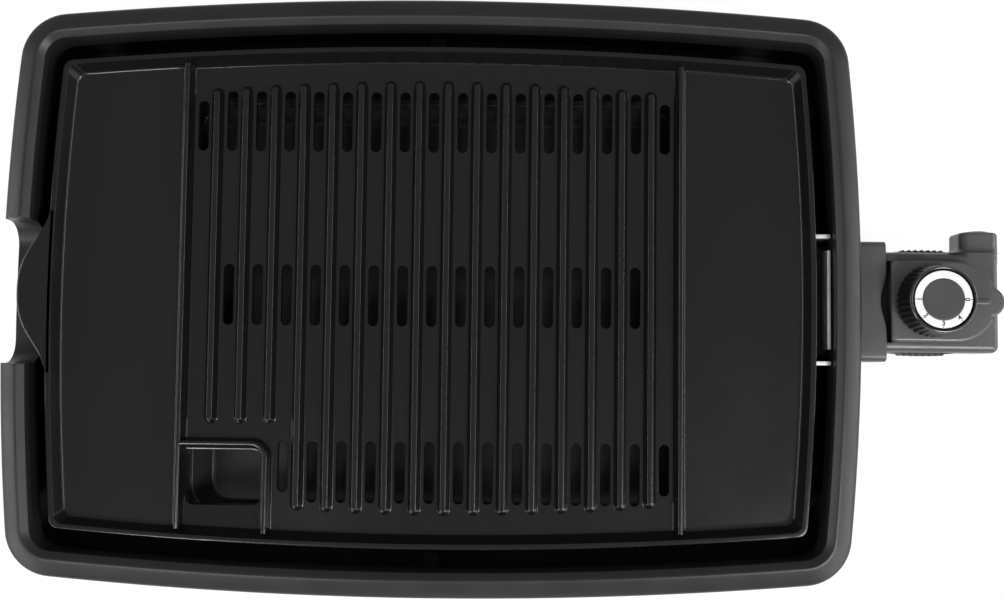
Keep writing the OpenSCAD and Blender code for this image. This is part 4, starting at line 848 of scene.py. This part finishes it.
# %% Model the dividers and the drain's border
def bar_section(step):
    """Half widths and heights across a bar; step starts its outer side on the wing."""
    foot = WING_Z if step else ZONE_Z
    outer = [(3.6, foot - 0.02), (2.95, foot + 0.08), (2.45, foot + 0.4), (2.1, 57.0),
             (1.55, 59.6), (1.35, 60.3), (1.05, 60.75), (0.55, 60.98), (0.0, 61.02)]
    inner = [(-x, z) for x, z in reversed(outer[4:-1])]
    if step:
        inner += [(-2.3, 57.0), (-3.05, 54.9), (-3.25, 54.5), (-3.6, 54.2), (-4.1, 54.04),
                  (-4.6, ZONE_Z - 0.03)]
    else:
        inner += [(-x, z) for x, z in reversed(outer[:4])]
    return outer + inner + [(-3.0, ZONE_Z - 1.2), (3.0, ZONE_Z - 1.2)]


def wall_reach(x):
    """Where a bar along Y runs into the wall."""
    return LIP_Y - 5.0 - x * x / (2 * SIDE_BOW)


def bar_along_y(bm, x, low_y, high_y, section, side=1.0):
    ring = [(x + side * across, low_y, z) for across, z in section]
    skin(bm, [ring, [(a, high_y, c) for a, _, c in ring]])


bm = bmesh.new()
for side in (-1, 1):
    reach = wall_reach(DIVIDER_X)
    low = -reach if side > 0 else BORDER_Y
    bar_along_y(bm, side * DIVIDER_X, low, reach, bar_section(True), side)
BEND_R = 8.0
plain = bar_section(False)
left_foot = [(-x if x < 0 else x, z) for x, z in bar_section(True)[:9]]
drain_side = left_foot + [(-1.35, 60.3), (-1.9, 58.0), (-2.2, 53.0), (-2.3, 50.0),
                          (3.0, 50.0)]
bar_along_y(bm, -DIVIDER_X, -wall_reach(DIVIDER_X), BORDER_Y, drain_side, -1)
border = [[(BORDER_X - across, -wall_reach(BORDER_X), z) for across, z in plain],
          [(BORDER_X - across, BORDER_Y - BEND_R, z) for across, z in plain]]
for i in range(1, 11):
    a = math.radians(9 * i)
    border.append([(BORDER_X - BEND_R + (BEND_R - across) * math.cos(a),
                    BORDER_Y - BEND_R + (BEND_R - across) * math.sin(a), z)
                   for across, z in plain])
border.append([(-DIVIDER_X + 1.0, BORDER_Y - across, z) for across, z in plain])
skin(bm, border)
make_piece("dividers", bm, plate_coating, "plate", sharp=50)

# %% [markdown]
# ## The lifting tab
#
# A flat tongue grows out of the lip on the left. Its outline swings out and back like a
# bell curve, and all its edges are rounded, which gives the bright line round it.

# %% Model the tab
TAB_REACH, TAB_HALF, TAB_T = 16.8, 47.0, 4.0


def tab_outline(inset, z, steps=28):
    points = [(3.0 - LIP_X, TAB_HALF - 2, z)]
    for i in range(-steps + 1, steps):
        u = i / steps
        bell = 0.5 * (1 + math.cos(math.pi * min(1, abs(u)) ** 1.3))
        root = u * u * 0.8 + max(0, abs(u) - 0.85) * 4
        x = -LIP_X + root - TAB_REACH * bell + inset * min(1, bell * 3)
        points.append((x, -u * TAB_HALF, z))
    return points + [(3.0 - LIP_X, 2 - TAB_HALF, z)]


bm = bmesh.new()
skin(bm, [tab_outline(inset, LIP_Z - drop) for inset, drop in (
    (0.8, TAB_T), (0.25, TAB_T - 0.2), (0.0, TAB_T - 0.8), (0.0, 1.7), (0.15, 1.1),
    (0.5, 0.55), (1.1, 0.2), (1.9, 0.04), (2.8, 0.0))])
make_piece("lifting_tab", bm, plate_coating, "plate", sharp=50)

# %% [markdown]
# ## The plate's underside
#
# Under the plate the casting thickens round the heating element, in a channel that runs
# along the front, turns at the left and comes back along the rear, then swings in to the
# socket. Its section is spun round each bend and drawn straight between them. Four legs
# rest in the cups of the base.

# %% Model the channel, the socket block and the legs
RUN_Y, TURN_X, BEND_X, ELEMENT_BEND = 50.0, -130.35, 150.35, 18.0
CHANNEL_Z, BLOCK_X0, BLOCK_X1 = 42.8, 180.85, 208.05
section = [(-5.5, 51.5), (-5.5, 44.6), (-5.0, 43.5), (-4.0, 42.95), (-2.8, CHANNEL_Z),
           (2.8, CHANNEL_Z), (4.0, 42.95), (5.0, 43.5), (5.5, 44.6), (5.5, 51.5)]
bm = bmesh.new()


def turned(radius, angle, cx, cy):
    """The channel's section on an arc, at an angle in degrees."""
    a = math.radians(angle)
    return [(cx + (radius + across) * math.cos(a), cy + (radius + across) * math.sin(a), z)
            for across, z in section]


def swung(angle):
    """The section on the arc that leads in to the socket, which bends the other way."""
    a = math.radians(angle)
    return [(BEND_X + 2 * ELEMENT_BEND - (ELEMENT_BEND - across) * math.cos(a),
             RUN_Y - ELEMENT_BEND - (ELEMENT_BEND - across) * math.sin(a), z)
            for across, z in section]


path = [turned(RUN_Y, 90 + 180 * i / 24, TURN_X, 0) for i in range(25)]
half = [[(BEND_X, RUN_Y + across, z) for across, z in section]]
half += [turned(ELEMENT_BEND, 90 - 90 * i / 8, BEND_X, RUN_Y - ELEMENT_BEND) for i in range(1, 9)]
half += [swung(11.25 * i) for i in range(1, 9)]
front = [[(x, -y, z) for x, y, z in ring] for ring in half]
skin(bm, half[::-1] + path + front)
block = round_box((BLOCK_X1 - BLOCK_X0) / 2, 21.0, 2.0, (BLOCK_X1 + BLOCK_X0) / 2)
skin(bm, [raise_to(block, 28.0), raise_to(block, 52.8)])
bar = round_box(23.85, 7.0, 1.5, 184.2)
skin(bm, [raise_to(bar, 28.1), raise_to(bar, 52.7)])
for x in (-176, 176):
    for y in (-95, 95):
        skin(bm, [raise_to(round_box(r, r, r - 0.01, x, y, 8), z)
                  for r, z in ((4.9, 24.0), (5.4, 24.5), (5.5, 40.0), (5.8, 52.8))])
make_piece("plate_underside", bm, plate_coating, "plate")

# %% [markdown]
# ## The drip tray
#
# The tray is pressed from thin enamelled sheet. It has a flat flange, a sloping wall and
# a generous bend into the floor, which shows through the drain as a curved line.

# %% Model the tray
TRAY_L, TRAY_W, TRAY_Y, TRAY_R = 284.0, 247.0, -6.3, 23.0


def tray_ring(inset, z):
    return raise_to(round_box(TRAY_L / 2 - inset, TRAY_W / 2 - inset, max(TRAY_R - inset, 3.0),
                              0.0, TRAY_Y, 10), z)


tray_profile = [(13.0, 12.0), (11.2, 12.12), (9.7, 12.8), (8.8, 14.0), (3.2, 28.0), (2.7, 28.6),
                (2.0, 28.8), (0.5, 28.8), (0.1, 28.95), (0.0, 29.3), (0.1, 29.75), (0.45, 29.97),
                (3.0, 30.0), (3.6, 29.85), (4.1, 29.3), (9.8, 14.9), (10.6, 13.9), (11.6, 13.4),
                (12.6, 13.22), (13.6, 13.2)]
bm = bmesh.new()
skin(bm, [tray_ring(inset, z) for inset, z in tray_profile])
make_piece("drip_tray_pressing", bm, tray_enamel, "tray", "drip_tray")

# %% [markdown]
# ## The control's case
#
# The control is a block with soft edges that parts at half height. A raised deck with a
# pointer nose carries the dial, and a rounded square boss at the rear corner lets the
# cord out. Both halves, the deck and the boss are stacks of outlines.

# %% Model both halves of the case
BODY_X0, BODY_X1, BODY_HALF, BODY_R = 240.0, 320.6, 28.5, 4.0
BODY_TOP, DECK_Z = 46.75, 54.25
BODY_MID, BODY_LEN = (BODY_X0 + BODY_X1) / 2, (BODY_X1 - BODY_X0) / 2


def body_ring(inset, z):
    return raise_to(round_box(BODY_LEN - inset, BODY_HALF - inset, BODY_R - min(inset, 3.0),
                              BODY_MID, 0.0, 8), z)


bm = bmesh.new()
skin(bm, [body_ring(i, z) for i, z in (
    (2.2, 20.25), (1.2, 20.4), (0.45, 20.95), (0.08, 21.7), (0.0, 22.6), (0.0, 33.1),
    (0.1, 33.32), (0.4, 33.46))])
make_piece("lower_case", bm, case_plastic, "control", "control_lower_case",
           sharp=50)

bm = bmesh.new()
ring = start_ring(bm, body_ring(0.4, 33.54))
bm.faces.new(ring)
ring = grow(bm, ring, [body_ring(i, z) for i, z in (
    (0.1, 33.68), (0.0, 33.9), (0.0, 42.6), (0.12, 43.7), (0.5, 44.8), (1.15, 45.7),
    (2.0, 46.3), (3.0, 46.65), (4.1, BODY_TOP))])
gap_plan = round_box(3.5, 23.2, 0.8, 256.9, 0.0, 3)
gap = start_ring(bm, raise_to(gap_plan, BODY_TOP))
fill(bm, ring_edges(bm, ring) + ring_edges(bm, gap))
gap = next_ring(bm, gap, raise_to(gap_plan, 37.0))
bm.faces.new(gap)

# %% Model the deck with its nose
DECK_X, DECK_HALF, ROUND_X, NOSE_R = 257.2, 22.7, 294.0, 8.6
NOSE_X, UNDERCUT, BACK_R = 312.4, 3.2, 2.2


def deck_outline(inset, z):
    """A D with a round nose; the neck between the two is drawn as a smooth hollow."""
    tip = arc(NOSE_X, 0.0, NOSE_R - inset, range(0, 87, 6))
    shoulder = arc(ROUND_X, 0.0, DECK_HALF - inset, range(26, 91, 4))
    neck_from, neck_to = tip[-1], shoulder[0]
    neck = []
    for i in range(1, 6):
        t = i / 6
        pull = math.sin(math.pi * t) * 0.25
        neck.append((neck_from[0] + (neck_to[0] - neck_from[0]) * t - pull,
                     neck_from[1] + (neck_to[1] - neck_from[1]) * t - pull * 0.3))
    tuck = UNDERCUT if z < 53.5 else 0.0
    back = arc(DECK_X + tuck + inset + BACK_R, DECK_HALF - inset - BACK_R, BACK_R,
               range(90, 181, 15))
    rear_half = tip + neck + shoulder + back
    mirrored = [(x, -y) for x, y in reversed(rear_half[1:])]
    return [(x, y, z) for x, y in rear_half + mirrored]


skin(bm, [deck_outline(i, z) for i, z in (
    (-0.9, 46.1), (-0.75, 46.75), (-0.35, 47.0), (-0.05, 47.6), (0.3, 53.3), (0.36, 53.55),
    (0.5, 53.85), (1.0, 54.14), (2.0, DECK_Z))])

# %% Add the cord boss
BOSS_X, BOSS_Z, BOSS_HALF, BOSS_Y = 310.1, 35.6, 11.1, 40.2


def boss_ring(grow, y, lean=0.0):
    """The boss's rounded square section, grown by some millimetres."""
    half = BOSS_HALF + grow
    return [(x, y, z) for x, z in round_box(half, half, min(5.0 + grow, half - 0.01),
                                            BOSS_X - lean, BOSS_Z, 8)]


skin(bm, [boss_ring(*step) for step in (
    (0.0, 22.0), (0.0, 38.2), (-0.35, 39.2), (-1.1, 39.9), (-2.2, BOSS_Y), (-4.4, BOSS_Y),
    (-4.4, 22.0))], loop=True)
fillet = [(3.4, 28.0), (1.9, 28.25), (0.95, 28.9), (0.35, 29.8), (0.08, 31.0), (0.0, 32.2)]
skin(bm, [boss_ring(grow, y, 2.2 * (grow > 0.2) * grow / 3.4 + grow * 0.35)
          for grow, y in fillet])
make_piece("upper_case", bm, case_plastic, "control", "control_upper_case",
           sharp=50)

# %% [markdown]
# ## The pointer
#
# The pointer is a slim raised pill on the nose. It shows which figure is set, and is a
# stack of outlines that get smaller.

# %% Model the pointer
bm = bmesh.new()
pill_x0, pill_x1 = 301.6, 310.9


def pill(width, z):
    return raise_to(arc(pill_x1, 0.0, width, range(-90, 91, 18))
                    + arc(pill_x0, 0.0, width, range(90, 271, 18)), z)


skin(bm, [pill(width, DECK_Z + z) for width, z in (
    (1.75, -0.1), (1.62, 0.35), (1.4, 0.62), (0.95, 0.78), (0.4, 0.8))])
make_piece("pointer", bm, case_plastic, "control", sharp=60)

# %% [markdown]
# ## The socket guard
#
# A folded steel bracket behind the hood keeps fingers off the pins. Its front has a
# raised bar and two ears that show as bright lines between plate and housing. Each
# fold is a thin box with bevelled edges. Its top sheet is a separate cover painted
# near-black, a painted shade for the shadow it lies in under the plate's lip.

# %% Model the socket guard
GUARD_X, GUARD_BACK, GUARD_HALF, EAR_Y = 222.3, 208.05, 30.6, 36.5
GUARD_LOW, GUARD_TOP, SHEET_T = 18.75, 59.5, 1.2
bm = bmesh.new()


def sheet_box(x0, x1, y0, y1, z0, z1, r=0.35):
    """A thin sheet with its edges rounded."""
    made = bmesh.ops.create_cube(bm, size=1.0)["verts"]
    bmesh.ops.scale(bm, verts=made, vec=(x1 - x0, y1 - y0, z1 - z0))
    bmesh.ops.translate(bm, verts=made, vec=((x0 + x1) / 2, (y0 + y1) / 2, (z0 + z1) / 2))
    edges = list({e for v in made for e in v.link_edges})
    bmesh.ops.bevel(bm, geom=edges, offset=r, segments=3, profile=0.5, affect="EDGES")


BAR_T, BAR_HALF, EAR_T, EAR_LOW, EAR_STEP, EAR_X = 2.1, 27.6, 2.4, 26.8, 49.65, 212.15
COVER_LOW, COVER_TOP = 46.95, 48.15
sheet_box(GUARD_BACK, GUARD_BACK + SHEET_T, -EAR_Y, EAR_Y, EAR_LOW, EAR_STEP)
sheet_box(GUARD_X - BAR_T, GUARD_X, -BAR_HALF, BAR_HALF, 47.4, GUARD_TOP)
for side in (-1, 1):
    ear = sorted((side * (EAR_Y - EAR_T), side * EAR_Y))
    sheet_box(GUARD_BACK, GUARD_X, *ear, EAR_LOW, EAR_STEP)
    sheet_box(EAR_X, GUARD_X, *ear, EAR_STEP - 1.0, GUARD_TOP)
    cheek = sorted((side * (GUARD_HALF - SHEET_T), side * GUARD_HALF))
    sheet_box(GUARD_BACK, GUARD_X, *cheek, GUARD_LOW, 48.0)
make_piece("pin_guard", bm, guard_steel, "plate", "socket_guard")
bm = bmesh.new()
# The top sheet is a piece of its own, painted near-black to stand in for the shade under the lip.
sheet_box(GUARD_BACK, GUARD_X, -GUARD_HALF, GUARD_HALF, COVER_LOW, COVER_TOP)
make_piece("pin_guard_shade_cover", bm, cover_painted_shade, "plate")

# %% [markdown]
# ## Finger grips and gland
#
# Each finger grip is a thin lens of rubber with seven upright ribs. The gland is a
# turned rubber bush: its section is spun once round the cord's axis.

# %% Model the finger grips
GRIP_X, GRIP_PITCH, GRIP_RIBS, GRIP_HALF = 279.5, 3.6, 7, 17.8


def grip_line(x):
    """How far the grip stands out at one place along X."""
    u = (x - GRIP_X) / GRIP_HALF
    lens = 1.0 * math.sqrt(max(1 - u * u, 0))
    ridge = 0.0
    for k in range(GRIP_RIBS):
        d = abs(x - GRIP_X - (k - 3) * GRIP_PITCH)
        ridge = max(ridge, 0.9 * math.cos(math.pi * min(d / 1.1, 1) / 2))
    return lens + ridge


def grip_ring(side, inset, z):
    steps = 120
    points = []
    for i in range(steps + 1):
        x = GRIP_X + GRIP_HALF * (2 * i / steps - 1)
        points.append((x, side * (BODY_HALF - 0.3 + max(grip_line(x) - inset + 0.3, 0.0)), z))
    points.append((GRIP_X + GRIP_HALF, side * (BODY_HALF - 0.8), z))
    points.append((GRIP_X - GRIP_HALF, side * (BODY_HALF - 0.8), z))
    return points


for side, name in ((-1, "front_grip"), (1, "rear_grip")):
    bm = bmesh.new()
    skin(bm, [grip_ring(side, i, z) for i, z in (
        (0.9, 26.0), (0.35, 26.15), (0.05, 26.6), (0, 27.2), (0, 39.3), (0.05, 39.9),
        (0.35, 40.35), (0.9, 40.5))])
    make_piece(name + "_pad", bm, grip_rubber, "control", name, sharp=60)

# %% Spin the gland
bm = bmesh.new()
GLAND_X = 311.5
gland_section = [(3.75, 22.5), (6.4, 22.5), (6.4, 40.0), (6.9, 40.1), (7.2, 40.3), (7.2, 40.6),
                 (6.9, 40.9), (6.2, 41.1), (4.3, 41.1), (3.85, 40.9), (3.75, 40.5)]
profile = [bm.verts.new((GLAND_X + r, y, BOSS_Z)) for r, y in gland_section]
chain = [bm.edges.new((a, b)) for a, b in zip(profile, profile[1:] + profile[:1])]
bmesh.ops.spin(bm, geom=profile + chain, cent=(GLAND_X, 0, BOSS_Z), axis=(0, 1, 0),
               angle=2 * math.pi, steps=40, use_merge=True, use_duplicate=False)
make_piece("gland", bm, gland_rubber, "control", "cord_gland")

# %% [markdown]
# ## The knob
#
# The knob flares a little towards its foot and has thirty-six upright flutes. Its top
# edge is a polished bead, then a groove, then the white ring with the figures and a grey
# cap. The fluted skirt is a stack of rings whose radius is pressed in at each flute. The
# faces of the beads get a glossier finish whose colour is painted five times lighter than
# the knob's, a painted highlight on the top bead and the foot edge.

# %% Model the fluted knob
KNOB_X, KNOB_Z, FLUTES, FLUTE_STEPS, FLUTE_DEPTH = 279.9, 54.85, 36, 8, 0.9


def flute_ring(radius, depth, z):
    points = []
    count = FLUTES * FLUTE_STEPS
    for i in range(count):
        a = 2 * math.pi * i / count
        wave = 0.5 - 0.5 * math.cos(2 * math.pi * (i % FLUTE_STEPS) / FLUTE_STEPS)
        press = depth * wave ** 0.8
        reach = radius - press
        points.append((KNOB_X + reach * math.cos(a), reach * math.sin(a), z))
    return points


bm = bmesh.new()
knob_rings = [flute_ring(r, d, KNOB_Z + z) for r, d, z in (
    (18.6, 0, 0.6), (18.6, 0, 0.05), (19.8, 0.6, 0.0), (20.15, FLUTE_DEPTH, 0.12),
    (20.3, FLUTE_DEPTH, 0.45), (20.2, FLUTE_DEPTH, 1.2), (19.1, FLUTE_DEPTH, 10.1),
    (18.42, FLUTE_DEPTH, 15.6),
    (18.38, 0.7, 16.3), (18.4, 0.15, 16.8), (18.42, 0, 17.2), (18.38, 0, 17.6), (18.2, 0, 18.0),
    (17.85, 0, 18.28), (17.4, 0, 18.38), (16.95, 0, 18.3), (16.7, 0, 18.05), (16.6, 0, 17.5),
    (16.5, 0, 17.3), (16.2, 0, 17.3), (16.05, 0, 17.6), (15.95, 0, 17.95), (15.78, 0, 18.0),
    (15.74, 0, 17.8), (15.7, 0, 16.9))]
skin(bm, knob_rings)
knob = make_piece("knob_skirt", bm, knob_plastic, "knob", "control_knob", sharp=55)
knob.data.materials.append(bead_plastic_painted_highlight)
# Faces of the top bead and the foot edge get the lighter, glossier material: a painted highlight.
for face in knob.data.polygons:
    x, y, z = face.center / MM
    away = math.hypot(x - ORIGIN_X - KNOB_X, y)
    if (z > KNOB_Z + 16.6 and away > 16.9) or (z < KNOB_Z + 0.9 and away > 19.0):
        face.material_index = 1

# %% Spin the dial ring and the cap
def spun(name, section, material, node, close=True, sharp=40):
    """A turned piece round the knob's axis from a section of radius and height."""
    bm = bmesh.new()
    line = [bm.verts.new((KNOB_X + r, 0, z)) for r, z in section]
    pairs = list(zip(line, line[1:])) + ([(line[-1], line[0])] if close else [])
    edges = [bm.edges.new(p) for p in pairs]
    bmesh.ops.spin(bm, geom=line + edges, cent=(KNOB_X, 0, 0), axis=(0, 0, 1),
                   angle=2 * math.pi, steps=72, use_merge=True, use_duplicate=False)
    return make_piece(name, bm, material, "knob", node, sharp=sharp)


spun("white_ring", [(11.5, 72.0), (15.7, 72.0), (15.7, 72.75), (15.6, 72.86), (15.45, 72.9),
                    (11.7, 72.9), (11.55, 72.86), (11.5, 72.75)],
     dial_plastic, "dial_ring")
spun("centre_cap", [(0.0, 71.0), (10.1, 71.0), (11.42, 72.0), (11.42, 72.8), (11.34, 73.0),
                    (11.1, 73.12), (10.6, 73.15), (7.0, 73.06), (3.0, 73.01), (0.0, 73.0)],
     cap_plastic, "knob_cap", close=False)

# %% [markdown]
# ## Figures on the ring
#
# The real ring carries words. Here it carries plain figures from 0 to 4, each with its
# head towards the middle and a small tick at the ring's outer edge, so that the figure
# next to the pointer reads the right way. They are thin raised letters of ink.

# %% Print the figures and ticks
INK_Z, FIGURE_R, TICK_R = 72.9, 13.15, 15.5
marks = {"0": 0.0, "1": 180.0, "2": 222.2, "3": 269.0, "4": 310.8}
bm = bmesh.new()
for text, angle in marks.items():
    curve = bpy.data.curves.new("figure", "FONT")
    curve.body = text
    curve.size, curve.extrude, curve.offset = 3.7, 0.04, 0.11
    curve.align_x, curve.align_y = "CENTER", "CENTER"
    helper = bpy.data.objects.new("figure", curve)
    bpy.context.scene.collection.objects.link(helper)
    bpy.context.view_layer.update()
    shape = helper.to_mesh()
    shape.transform(Matrix.Translation((KNOB_X, 0, INK_Z))
                    @ Matrix.Rotation(math.radians(angle), 4, "Z")
                    @ Matrix.Translation((FIGURE_R, 0, 0))
                    @ Matrix.Rotation(math.radians(90), 4, "Z"))
    bm.from_mesh(shape)
    helper.to_mesh_clear()
    bpy.data.objects.remove(helper)
    a = math.radians(angle)
    out, side = Vector((math.cos(a), math.sin(a), 0)), Vector((-math.sin(a), math.cos(a), 0))
    middle = Vector((KNOB_X, 0, INK_Z - 0.02))
    tick = [middle + out * TICK_R + side * 0.4, middle + out * (TICK_R - 0.7),
            middle + out * TICK_R - side * 0.4]
    skin(bm, [tick, [p + Vector((0, 0, 0.06)) for p in tick]])
make_piece("dial_figures", bm, dial_ink, "knob", weld=0.0005)

# %% [markdown]
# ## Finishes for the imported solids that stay
#
# Screws, pins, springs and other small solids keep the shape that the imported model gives
# them. Each gets the finish of what it is made of.

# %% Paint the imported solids
solid_finishes = (
    (pan_plastic, "base_pan"), (foot_rubber, "rubber_feet"),
    (zinc_steel, "pan_screws foot_screws guard_screws case_screws gland_clamp spindle_clip"),
    (element_sheath, "heating_element"), (ceramic, "element_seals leaf_insulators"),
    (plated_pin, "terminal_pins contact_points leaf_rivet"), (phenolic, "plug_block"),
    (guard_steel, "socket_guard thermostat_frame"), (bimetal, "bimetal_strip"),
    (contact_brass, "contact_sleeves spindle_bush moving_leaf fixed_leaf"),
    (rod_steel, "sensor_rod rod_nut knob_spindle"))
painted = 0
for material, nodes in solid_finishes:
    for name in nodes.split():
        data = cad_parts[name].data
        data.materials.clear()
        data.materials.append(material)
        painted += 1
print("painted solids:", painted)
